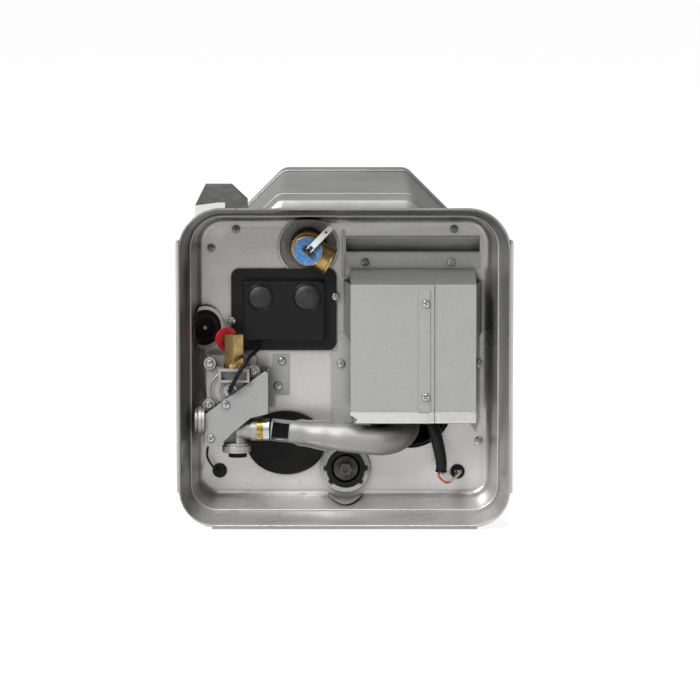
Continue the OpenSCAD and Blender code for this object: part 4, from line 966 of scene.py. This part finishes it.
@dataclass
class Ignition(Assembly):
    """Spark electrode, its rubber boot, the leads and their grommets."""

    KEPT = {"spark_electrode": CERAMIC, "wire_grommets": RUBBER}
    boot: Route = ((86, -26, -57), (86, -30, -57), (87, -35, -64), (91, -36, -78), (95, -36, -98),
                   (95, -36, -109))
    boot_r: tuple[float, ...] = (8.0, 7.6, 6.8, 6.4, 6.0, 5.5)
    boot_slim: float = 0.4
    boot_flare: float = 0.7
    wire_r: float = 1.3
    ground_r: float = 1.1
    valve_r: float = 2.0
    orange: Route = ((93, -36, -109.5), (93, -36, -114), (99, -31, -120), (104, -22, -121),
                     (109, -12, -118), (111, -6, -115), (111, 4, -114))
    white: Route = ((97, -36, -109.5), (97, -36, -113), (103, -30, -118), (108, -21, -118),
                    (112, -12, -116), (114.5, -6, -114), (114.5, 4, -114))
    ground: Route = ((-134, -45, -83), (-135, -42, -88), (-135, -32, -95), (-132, -19, -104),
                     (-127, -9, -111), (-124, -3, -113), (-124, 4, -113))
    valve: Route = ((-112, -45.3, -27), (-112, -54, -27), (-110, -62, -21), (-105, -65, -11),
                    (-99, -65, -1), (-93, -55, 7), (-88, -38, 10), (-85, -20, 11), (-84, -10, 13),
                    (-84, -8, 16), (-84, -8, 18.7))

    def lead(self, name: str, route: Route, radius: float, finish: Finish, slot: str,
             node: str) -> None:
        """Lays one lead along its route.

        Args:
            name: Name of the piece.
            route: Places that it passes, in millimetres.
            radius: Its radius, in millimetres.
            finish: Its sleeve.
            slot: Passed on, but not used.
            node: Solid that it stands for.
        """
        path = smooth_route(route, 8)
        curve = bpy.data.curves.new(name, "CURVE")
        curve.dimensions = "3D"
        curve.bevel_depth = radius / MM
        curve.bevel_resolution = 4
        curve.use_fill_caps = True
        spline = curve.splines.new("POLY")
        spline.points.add(len(path) - 1)
        for point, place in zip(spline.points, path):
            point.co = (*place, 1.0)
        made = linked(name, curve)
        self.settle(made, finish, slot, node)

    def leads(self) -> None:
        """Lays the four leads."""
        pair, dark = ("orange_wire", "ignition_leads"), (DARK_WIRE, "dark_wire")
        self.lead("ignition_lead_orange", self.orange, self.wire_r, ORANGE, *pair)
        self.lead("ignition_lead_white", self.white, self.wire_r, PALE_WIRE, *pair)
        self.lead("ground_lead", self.ground, self.ground_r, *dark, "ground_wire")
        self.lead("valve_lead_sleeve", self.valve, self.valve_r, *dark, "valve_lead")

    def build(self) -> None:
        """Moulds the boot, with a collar at its top and a bead at its end."""
        path = smooth_route(self.boot, 6)
        count = len(path)
        radii = []
        for i in range(count):
            t = i / (count - 1) * (len(self.boot_r) - 1)
            k = min(int(t), len(self.boot_r) - 2)
            r = self.boot_r[k] + (self.boot_r[k + 1] - self.boot_r[k]) * (t - k)
            r += self.boot_flare if i < 4 or i > count - 3 else 0.0
            radii.append((r - self.boot_slim) / MM)
        sketch = MeshSketch()
        sketch.loft(sections(path, radii, 24, RIGHT))
        self.add("spark_boot", sketch, RUBBER, "black_rubber", "electrode_boot")


@dataclass
class Shell(Assembly):
    """Front pan, mounting flanges, jacket and wiring box."""

    KEPT = {
        "front_pan": PAN, "mounting_flanges": FLANGE_AND_HIGHLIGHT, "jacket_front_cap": JACKET,
        "jacket_wrapper": JACKET, "jacket_rear_cap": JACKET, "junction_box": BOX_PAINT,
        "junction_box_cover": PLATE}
    half_w: float = 159.0
    half_h: float = 158.0
    cut: float = 93.0
    edge_r: float = 14.0
    least_r: float = 1.0
    laps: tuple[float, ...] = (53.2, 340.9)
    bead: Profile = ((0.4, 0.0), (-0.3, 0.2), (-0.8, 1.0), (-0.8, 1.5), (-0.3, 2.1), (0.4, 2.3))
    rim: tuple[float, float, float, float] = (161.0, 155.5, 42.0, 36.0)
    rim_y: float = -86.0
    rim_bead: Profile = (
        (0.3, -1.5), (-0.1, -1.1), (-0.2, -0.2), (0.2, 0.4), (0.8, 0.5), (1.4, 0.3), (1.8, -0.3),
        (1.7, -1.1), (1.0, -1.5))
    step_bead: Profile = (
        (11.4, -38.9), (11.1, -38.2), (10.5, -37.9), (9.9, -38.2), (9.6, -38.9), (9.9, -39.6),
        (10.5, -39.9), (11.1, -39.6))

    def outline(self, margin: float, y: float) -> list[Vector]:
        """Gives the jacket's eight-sided outline with round corners.

        Args:
            margin: How far it is set in, in millimetres.
            y: Its depth.

        Returns:
            Its points, none of them under the floor.
        """
        w, h = self.half_w - margin, self.half_h - margin
        cut = self.cut - margin * (2 - sqrt(2))
        r = max(self.edge_r - margin, self.least_r)
        e = r * (1 - sqrt(2))
        far, near = (w - r, h - cut + e), (w - cut + e, h - r)
        upper = [far, near, (-near[0], near[1]), (-far[0], far[1])]
        made = []
        for k, (x, z) in enumerate(upper + [(-x, -z) for x, z in upper]):
            for a in map(radians, spaced(45 * k, 45 * k + 45, 6)):
                made.append(at(x + r * cos(a), y, max(z + r * sin(a), -self.half_h)))
        return made

    def pan_bead(self, name: str, profile: Profile, finish: Finish) -> None:
        """Rolls one bead all round the pan.

        Args:
            name: Name of the piece.
            profile: Distances inward from the rim's outline, and forward from its edge.
            finish: Finish that it takes.
        """
        sketch = MeshSketch()
        w, h, upper, lower = self.rim
        rings = []
        for m, out in profile:
            outline = rounded(w - m, h - m, upper - m, lower - m, 12)
            rings.append([at(x, self.rim_y - out, z) for x, z in outline])
        sketch.loft(rings, hoop=True)
        self.add(name, sketch, finish, "pan_steel")

    def build(self) -> None:
        """Rolls two beads round the pan, and one along the skirt of each cap of the jacket."""
        self.pan_bead("pan_rim_bead", self.rim_bead, PAN)
        # Painted highlight: the step bead takes the brighter flange sheet instead of the pan's own
        # sheet.
        self.pan_bead("pan_step_bead", self.step_bead, FLANGE_AND_HIGHLIGHT)
        sketch = MeshSketch()
        for lap in self.laps:
            sketch.loft([self.outline(margin, lap + y) for margin, y in self.bead], hoop=True)
        self.add("jacket_lap_beads", sketch, JACKET, "jacket_steel")


@dataclass
class Tank(Assembly):
    """Tank, its fittings, the flue and the blanket round it."""

    # Painted shade: the tank's spuds take a near-black finish so the relief well looks deep.
    KEPT = {
        "insulation_upper": BLANKET, "insulation_lower": BLANKET, "tank_shell": CLAD,
        "tank_spuds": PAINTED_SHADE_SPUD, "water_fittings": BRASS, "cold_dip_tube": PIPE_WHITE,
        "flue_tube": SOOT, "flue_collector": DUCT}
    fittings: Route = ((-52, 403.2, 82), (30, 403.2, -105))
    collar: Profile = ((14.1, -4.5), (15.0, -4.2), (15.4, -2.6), (15.0, -1.0), (14.1, -0.7))

    def build(self) -> None:
        """Rolls a collar round each water fitting at the jacket's back."""
        sketch = MeshSketch()
        for place in self.fittings:
            sketch.lathe(self.collar, at(*place), -OUT)
        self.add("water_fitting_collars", sketch, BRASS, "tank_steel")


@dataclass
class ReliefValve(Assembly):
    """Relief valve in its well, with outlet, bare blue disc and test lever."""

    KEPT = {
        "relief_valve_body": BRASS, "relief_label_disc": BLUE, "relief_lever": LEVER,
        "relief_lever_pin": OXIDE, "relief_stem": OXIDE, "relief_spring": STEEL,
        "relief_probe": BRASS}
    middle: Pair = (-36.0, 110.0)
    well: Profile = (
        (29.2, -1.2), (29.2, -10), (19, -10), (19, -9.2), (20.4, -9.0), (20.8, -7.6), (22.2, -7.4),
        (22.6, -6.0), (24.0, -5.8), (24.4, -4.4), (25.8, -4.2), (26.2, -2.8), (27.4, -2.6),
        (27.6, -1.2))
    mouth: Profile = (
        (27.7, -0.4), (27.7, 0.6), (28.3, 1.2), (29.4, 1.2), (30.4, 0.7), (30.8, -0.4))
    crown: Profile = ((13.95, 41.9), (14.5, 41.7), (14.8, 40.9), (14.8, 40.0), (14.1, 39.2))
    flange: Profile = (
        (14.0, 13.0), (16.4, 13.2), (17.0, 14.2), (17.0, 19.6), (16.4, 20.6), (14.0, 21.2))
    outlet_y: float = -25.0
    outlet_angle: float = 30.0
    lip: Profile = ((11.9, 25.5), (13.0, 25.9), (14.4, 25.5), (14.8, 24.6), (14.6, 23.4),
                    (13.9, 22.8), (11.9, 23.6))
    pin_y: float = -44.4
    lever_angle: float = 46.0
    clip_r: Pair = (2.15, 2.4)
    clip_turn: Pair = (-15.0, 120.0)
    cheek: Pair = (2.04, 2.96)
    saddle: Profile = ((3.28, -2.25), (3.28, -2.6), (5.2, -2.6), (5.3, -2.3), (5.3, 2.5),
                       (4.75, 2.5), (4.75, -2.25))
    saddle_half: float = 2.7

    def rims(self) -> None:
        """Turns the crown that holds the disc, the flange behind it and the outlet's lip."""
        sketch = MeshSketch()
        x, z = self.middle
        sketch.lathe(self.crown, at(x, 0, z))
        sketch.lathe(self.flange, at(x, 0, z))
        turn = radians(self.outlet_angle)
        sketch.lathe(self.lip, at(x, self.outlet_y, z), Vector((cos(turn), 0, -sin(turn))))
        self.add("relief_valve_rims", sketch, BRASS, "brass")

    def lever_clips(self) -> None:
        """Wraps a dark clip round each cheek of the lever's heel, and a saddle over the ears."""
        turn = radians(self.lever_angle)
        along, pin = Vector((cos(turn), 0, sin(turn))), Vector((-sin(turn), 0, cos(turn)))
        middle = at(self.middle[0], self.pin_y, self.middle[1])
        turns = [radians(a) for a in spaced(*self.clip_turn, 12)]
        arcs = [[(OUT * sin(a) - along * cos(a)) * r / MM for a in turns] for r in self.clip_r]
        heel = arcs[1] + arcs[0][::-1]
        clips, saddle = MeshSketch(), MeshSketch()
        for side in (1, -1):
            cheeks = [middle + pin * side * reach / MM for reach in self.cheek]
            clips.loft([[cheek + p for p in heel] for cheek in cheeks])
            bent = [(pin * side * reach - OUT * out) / MM for reach, out in self.saddle]
            ends = [middle + along * end * self.saddle_half / MM for end in (-1, 1)]
            saddle.loft([[end + p for p in bent] for end in ends])
        self.add("lever_heel_clips", clips, OXIDE, "small_steel", body="relief_lever")
        self.add("lever_saddle", saddle, OXIDE, "small_steel")

    def build(self) -> None:
        """Builds the stepped well, the rims and the lever's clips."""
        foot = at(self.middle[0], 0, self.middle[1])
        self.turn("relief_well_steps", self.well, foot, WELL, "grey_ring", "relief_well_ring",
                  sides=72)
        # Painted highlight: the well's mouth takes the brighter flange sheet instead of the pan's
        # own sheet.
        self.turn("relief_well_mouth", self.mouth, foot, FLANGE_AND_HIGHLIGHT, "pan_steel", sides=72)
        self.rims()
        self.lever_clips()


@dataclass
class Thermostat(Assembly):
    """Rubber cover with its two reset domes, and the switches behind."""

    KEPT = {
        "thermostat_cover": RUBBER, "thermostat_reset_button": DOME,
        "high_limit_reset_button": DOME, "thermostat_switch": PHENOLIC,
        "high_limit_switch": PHENOLIC, "switch_clip_plate": ZINC}
    middle: Pair = (-60.0, 48.0)
    raised: Triple = (40.0, 29.0, 4.0)
    least_r: float = 0.5
    face_y: float = -13.0
    bead: Profile = ((1.6, 0.0), (1.2, 0.5), (0.5, 0.6), (-0.1, 0.3), (-0.4, -0.3), (-0.4, -0.9),
                     (0.3, -1.2))
    domes: tuple[tuple[str, float, float, float], ...] = (
        ("thermostat_reset", -83, 61, 0.0), ("high_limit_reset", -37, 61, 1.0))
    collar: Profile = ((11.9, -0.3), (12.0, 0.5), (12.6, 0.9), (13.2, 0.6), (13.4, -0.3))
    step: Profile = ((6.2, 1.2), (6.4, 1.9), (6.9, 1.95), (7.4, 1.1))

    def edge_bead(self) -> None:
        """Moulds a round edge along the raised face, and a collar round each dome."""
        sketch = MeshSketch()
        (x, z), (w, h, r) = self.middle, self.raised
        rings = []
        for margin, out in self.bead:
            corner = max(r - margin, self.least_r)
            outline = rounded(w - margin, h - margin, corner, corner)
            rings.append([at(x + a, self.face_y - out, z + b) for a, b in outline])
        sketch.loft(rings, hoop=True)
        for _, dome_x, dome_z, more in self.domes:
            wider = [(radius + more, out) for radius, out in self.collar]
            sketch.lathe(wider, at(dome_x, self.face_y, dome_z))
        self.add("cover_beads", sketch, RUBBER, "black_rubber")

    def build(self) -> None:
        """Builds the cover's beads, and a ring on each dome that moves with it."""
        self.edge_bead()
        for body, dome_x, dome_z, more in self.domes:
            wider = [(radius + more / 2, out) for radius, out in self.step]
            foot = at(dome_x, self.face_y, dome_z)
            self.turn(body + "_ring", wider, foot, DOME, "black_rubber", body=body)


@dataclass
class GasTrain(Assembly):
    """Gas valve, its fittings and the burner tube."""

    KEPT = {
        "gas_valve_body": CAST, "regulator_cap": CAST, "solenoid_coil": COIL,
        "valve_plunger": STEEL, "gas_inlet_fitting": BRASS, "transit_cap": RED,
        "outlet_elbow": CAST, "elbow_plug": BLACK, "burner_orifice": GOLD,
        "orifice_lock_ring": STEEL, "air_shutter": DRAWN, "valve_bracket": BRACKET,
        "gas_line_grommet": RUBBER}
    start: Triple = (-72.69, -41.0, -66.0)
    fall: float = 6.3
    run: float = 104.0
    bend_r: float = 28.0
    tail: float = 30.0
    rise: float = 35.0
    wall: float = 1.0
    knots: Profile = ((0, 10.15), (18.5, 10.15), (18.9, 11), (24, 11), (34, 10.6), (54, 12.6),
                      (72, 14.2), (400, 14.2))
    window: Pair = (1.5, 18.0)
    window_reach: float = 0.87
    stops: tuple[float, ...] = (18.5, 18.9, *range(22, 74, 2), 78, 84, 90, 97)
    seam: Pair = (23.0, 63.0)
    seam_foot: float = -0.8
    seam_top: float = 0.1
    seam_reach: float = 2.4
    seam_half: float = 0.7
    cover: Triple = (-112.0, -43.0, -27.0)
    rib: Profile = ((18.6, -0.4), (18.8, 0.9), (19.4, 1.3), (20.2, 0.9), (20.5, -0.4))
    terminal_y: float = -45.0
    washer: Profile = ((2.3, 0.0), (2.3, 0.9), (6.6, 0.9), (7.0, 0.4), (7.0, 0.0))
    nut: Profile = ((2.25, 0.7), (2.25, 3.4), (3.6, 3.6), (4.6, 3.2), (4.6, 0.7))
    nut_turn: float = 12.0
    grommet: Triple = (-138.0, -10.0, 31.0)
    grommet_turn: float = 28.0
    gas_pin: Profile = ((0.1, -2.4), (2.2, -2.4), (2.2, 1.0), (1.8, 1.8), (1.0, 2.3), (0.1, 2.5))

    def along(self, s: float) -> Vector:
        """Gives the middle of the burner tube at a distance from its inlet.

        Args:
            s: The distance, in millimetres.

        Returns:
            The point, in the frame's metres.
        """
        turn, lift = radians(self.fall), radians(self.rise)
        side = Vector((0, cos(lift), sin(lift)))
        arc = self.bend_r * pi / 2
        if s <= self.run:
            p = Vector((s, 0, 0))
        elif s <= self.run + arc:
            a = (s - self.run) / self.bend_r
            p = RIGHT * (self.run + self.bend_r * sin(a)) + side * self.bend_r * (1 - cos(a))
        else:
            p = RIGHT * (self.run + self.bend_r) + side * (self.bend_r + s - self.run - arc)
        x = p.x * cos(turn) + p.z * sin(turn)
        z = p.z * cos(turn) - p.x * sin(turn)
        return at(self.start[0] + x, self.start[1] + p.y, self.start[2] + z)

    def radius(self, s: float) -> float:
        """Gives the tube's outer radius: sleeve, throat and flare.

        Args:
            s: Distance from the inlet, in millimetres.

        Returns:
            The radius, in millimetres.
        """
        for (s0, r0), (s1, r1) in zip(self.knots, self.knots[1:]):
            if s <= s1:
                t = (s - s0) / (s1 - s0)
                return r0 + (r1 - r0) * (t * t * (3 - 2 * t))
        return self.knots[-1][1]

    def tube(self) -> None:
        """Lofts the burner tube, with its air windows, throat and bend."""
        arc = self.bend_r * pi / 2
        near, far = self.window
        stops = [0.0, near, (near + far) / 2, far, *self.stops]
        stops += [self.run + arc * k / 12 for k in range(13)]
        stops += [self.run + arc + self.tail * k / 3 for k in (1, 2, 3)]
        path = [self.along(s) for s in stops]
        sides = 48
        sketch = MeshSketch()
        rings = sections(path, [self.radius(s) / MM for s in stops], sides, UP)
        made = [sketch.ring(r) for r in rings]
        for i, (a, b) in enumerate(zip(made, made[1:])):
            cut = stops[i] >= near and stops[i + 1] <= far
            for k in range(sides):
                if cut and abs(cos(2 * pi * (k + 0.5) / sides)) < self.window_reach:
                    continue
                n = (k + 1) % sides
                sketch.faces.append((a[k], a[n], b[n], b[k]))
        piece = sketch.piece("burner_tube_shell", self.smoothing)
        thick = piece.modifiers.new("wall", "SOLIDIFY")
        thick.thickness = self.wall / MM
        thick.offset = -1.0
        self.settle(piece, DRAWN, "burner_steel", "burner_tube")

    def seams(self) -> None:
        """Adds the pinched seam flanges over and under the throat."""
        sketch = MeshSketch()
        half = Vector((0, self.seam_half / MM, 0))
        count = 16
        for side in (1, -1):
            rings = []
            for k, s in enumerate(spaced(*self.seam, count)):
                t = k / count
                middle = self.along(s)
                way = (self.along(s + 1) - middle).normalized()
                up = OUT.cross(way).normalized() * side
                reach = min(1.0, 6 * t, 6 * (1 - t)) * self.seam_reach
                foot = middle + up * (self.radius(s) + self.seam_foot) / MM
                top = middle + up * (self.radius(s) + reach + self.seam_top) / MM
                rings.append([foot - half, top - half, top + half, foot + half])
            sketch.loft(rings)
        self.add("burner_tube_seams", sketch, DRAWN, "burner_steel", "burner_tube")

    def casting_trim(self) -> None:
        """Adds the cast rib round the valve's cover, and the lead's terminal on it."""
        self.turn("valve_cover_rib", self.rib, at(*self.cover), CAST, "cast_alloy", sides=64)
        terminal = MeshSketch()
        foot = at(self.cover[0], self.terminal_y, self.cover[2])
        terminal.lathe(self.washer, foot)
        terminal.lathe(self.nut, foot, sides=6, phase=self.nut_turn)
        self.add("valve_lead_terminal", terminal, STEEL, "small_steel")

    def line_pin(self) -> None:
        """Sets a pale round pin in the gas line grommet's hole."""
        turn = radians(self.grommet_turn)
        way = Vector((sin(turn), -cos(turn), 0))
        sketch = MeshSketch()
        sketch.lathe(self.gas_pin, at(*self.grommet), way, 32, hoop=False)
        self.add("gas_line_pin", sketch, PLATE, "white_plate")

    def build(self) -> None:
        """Builds the burner tube and the valve's small pieces."""
        self.tube()
        self.seams()
        self.casting_trim()
        self.line_pin()


@dataclass
class BurnerBox(Assembly):
    """Burner box in two covers, with the plate above it."""

    KEPT = {"box_left_cover": ZINC, "box_right_cover": ZINC, "box_top_plate": ZINC}
    hem_r: float = 0.95
    lip_end: float = 0.8
    lip_hems: tuple[tuple[float, float, float, float], ...] = (
        (11.0, 87.4, -59.4, -57.0), (87.8, 128.4, -58.1, -57.0))
    slot_hem: tuple[float, float, float, float] = (1.4, 133.1, -0.5, 119.6)
    strip: tuple[float, float, float, float] = (-2.6, 0.4, 80.0, 126.0)
    strip_t: float = 1.0
    strip_cut: float = 0.4
    strip_back: float = 0.2

    def hem(self, sketch: MeshSketch, place: tuple[float, float, float, float], end: float) -> None:
        """Rolls one level hem.

        Args:
            sketch: Mesh that takes it.
            place: Its left and right end, its depth and its height, in millimetres.
            end: Share of its radius at both ends.
        """
        low, high, y, z = place
        path = [at(x, y, z) for x in spaced(low, high, 8)]
        radii = [self.hem_r * share / MM for share in (end, *[1.0] * 7, end)]
        sketch.loft(sections(path, radii, 12, UP))

    def slot_trim(self) -> None:
        """Folds the hem over the exhaust slot, and the strip down its left side."""
        sketch = MeshSketch()
        self.hem(sketch, self.slot_hem, 1.0)
        left, right, foot, top = self.strip
        back, face, cut = self.strip_back, -self.strip_t, self.strip_cut
        outline = [(left, back), (left, face * 0.6), (left + cut, face), (right - cut, face),
                   (right, face * 0.6), (right, back)]
        heights = (foot, foot + cut, top - cut, top)
        sketch.loft([[at(x, y, z) for x, y in outline] for z in heights])
        # Painted highlight: the hem and strip take the brighter flange sheet instead of the box's
        # zinc.
        self.add("slot_trim", sketch, FLANGE_AND_HIGHLIGHT, "galvanised_steel")

    def build(self) -> None:
        """Rolls the hem along the lower lip of each cover, and trims the slot."""
        sketch = MeshSketch()
        for place in self.lip_hems:
            self.hem(sketch, place, self.lip_end)
        self.add("box_lip_hems", sketch, ZINC, "galvanised_steel")
        self.slot_trim()


@dataclass
class Drain(Assembly):
    """Drain plug in its collar, and the electric element under its oval cover."""

    KEPT = {
        "element_cover": BLACK, "heating_element": SHEATH, "drain_collar": COLLAR,
        "drain_seal": RUBBER, "drain_plug": PLUG, "anode_rod": PLUG}
    drain: Pair = (1.0, -110.0)
    collar_bead: Profile = ((24.2, 5.6), (24.0, 6.4), (23.2, 6.6), (22.4, 6.3), (22.2, 5.6))
    element: Pair = (-58.0, -85.0)
    oval: Pair = (39.0, 31.5)
    oval_steps: int = 96
    collar_gap_r: float = 25.6
    rim: Profile = ((1.4, 2.3), (1.1, 3.0), (0.3, 3.1), (-0.2, 2.6), (-0.2, 1.8), (0.5, 1.6))

    def oval_ring(self, margin: float, out: float) -> list[Vector]:
        """Gives the oval's outline, kept clear of the drain's collar.

        Args:
            margin: How far it is set in, in millimetres.
            out: How far it stands out of the panel.

        Returns:
            Its points.
        """
        made = []
        least = self.collar_gap_r + max(margin, 0.0)
        for k in range(self.oval_steps):
            a = 2 * pi * k / self.oval_steps
            x = self.element[0] + (self.oval[0] - margin) * cos(a)
            z = self.element[1] + (self.oval[1] - margin) * sin(a)
            away = Vector((x - self.drain[0], z - self.drain[1]))
            if away.length < least:
                away = away.normalized() * least
                x, z = self.drain[0] + away.x, self.drain[1] + away.y
            made.append(at(x, -out, z))
        return made

    def build(self) -> None:
        """Moulds the element cover's rim and the collar's bead."""
        rim = MeshSketch()
        rim.loft([self.oval_ring(margin, out) for margin, out in self.rim], hoop=True)
        self.add("element_cover_rim", rim, BLACK, "black_plastic")
        foot = at(self.drain[0], 0, self.drain[1])
        self.turn("drain_collar_bead", self.collar_bead, foot, COLLAR, "white_pipe", sides=64)


@dataclass
class Fasteners(Assembly):
    """Pan head screws with a cross recess, each on the face that it holds."""

    head_r: float = 3.9
    head_h: float = 2.6
    brim_h: float = 0.5
    shoulder: Profile = ((0.94, 0.62), (0.8, 0.84))
    crown: Triple = (0.62, 0.075, 0.3)
    shank_r: float = 1.7
    shank_l: float = 4.5
    recess: Triple = (0.5, 2.3, 1.3)
    recess_from: float = 0.85
    turn_step: float = 23.0
    boss_size: float = 0.95
    # Painted shade: the screws in this first list take the darker copy of the plated steel.
    dark: Route = ((-107, 0, 127.545), (-131.545, 0, 109), (108, 0, 127.545), (20.25, -1.2, 95.1))
    bright: Route = (
        (133.045, 0, -83), (-9, -3, 61), (-111, -3, 37), (-62, -1.2, -3), (-66, -1.2, -28),
        (-3.5, -1.2, -6), (132.5, -1.2, -6), (105.25, -1.2, 95.1), (-116, -53.5, -40),
        (-131, -53.5, -73), (79.5, -56.8, -32), (79.5, -56.8, 60))
    bosses: Route = ((-132, -47, 0), (-133, -47, -41), (-89, -47, -8))

    def rows(self, size: float) -> list[Pair]:
        """Gives a screw's profile, from the end of its shank to its crown.

        Args:
            size: Scale of its head.

        Returns:
            Radius and height of each ring, in millimetres.
        """
        r, h = self.head_r * size, self.head_h * size
        made = [(self.shank_r, -self.shank_l), (self.shank_r, 0.0)]
        made += [(r, 0.0), (r, self.brim_h * size)]
        made += [(r * wide, h * high) for wide, high in self.shoulder]
        start, step, fall = self.crown
        shares = [start - step * k for k in range(9)]
        return made + [(r * share, h * (1 - fall * share ** 2)) for share in shares]

    def head(self, sketch: MeshSketch, place: Triple, turn: float, size: float) -> None:
        """Adds one screw.

        Args:
            sketch: Mesh that takes it.
            place: Middle of the face under its head, in millimetres.
            turn: Turn of its recess, in degrees.
            size: Scale of its head.
        """
        foot, sides = at(*place), 48
        half, reach, deep = (v * size for v in self.recess)
        rings = []
        for radius, height in self.rows(size):
            ring = []
            for k in range(sides):
                a = 2 * pi * k / sides
                u, v = sorted((abs(radius * cos(a)), abs(radius * sin(a))))
                open_row = height > self.head_h * size * self.recess_from
                sunk = deep if open_row and u < half and v < reach else 0.0
                b = a + radians(turn)
                spoke = Vector((cos(b), 0, sin(b))) * max(radius, LEAST_R)
                ring.append(foot + (OUT * (height - sunk) + spoke) / MM)
            rings.append(ring)
        sketch.loft(rings)

    def screws(self, name: str, places: Route, finish: Finish, size: float, *replaced: str) -> None:
        """Adds one set of screws.

        Args:
            name: Name of the piece.
            places: Middle of the face under each head, in millimetres.
            finish: Their finish.
            size: Scale of their heads.
            *replaced: Solids that they stand for.
        """
        sketch = MeshSketch()
        for i, place in enumerate(places):
            self.head(sketch, place, self.turn_step * i, size)
        self.add(name, sketch, finish, "small_steel", *replaced)

    def build(self) -> None:
        """Makes the sheet screws, and the small ones on the gas valve's bosses."""
        # Painted shade: these screws take the darker copy of the plated steel.
        self.screws("sheet_screws_in_shade", self.dark, STEEL_IN_SHADE, 1.0, "sheet_screws")
        self.screws("sheet_screws_bright", self.bright, STEEL, 1.0, "sheet_screws")
        self.screws("valve_cover_screws", self.bosses, STEEL, self.boss_size)


def main() -> None:
    """Builds the studio and each sub-assembly in order."""
    logging.basicConfig(level=logging.INFO, format="%(message)s")
    smoothing, keen = Smoothing(), Smoothing(15.0)
    Studio().build()
    ignition = Ignition(smoothing)
    ignition.leads()
    kinds = (Shell, Tank, ReliefValve, Thermostat, GasTrain, Drain, Fasteners)
    for assembly in [ignition, *(kind(smoothing) for kind in kinds), BurnerBox(keen)]:
        assembly.dress()
        assembly.build()


if __name__ == "__main__":
    main()
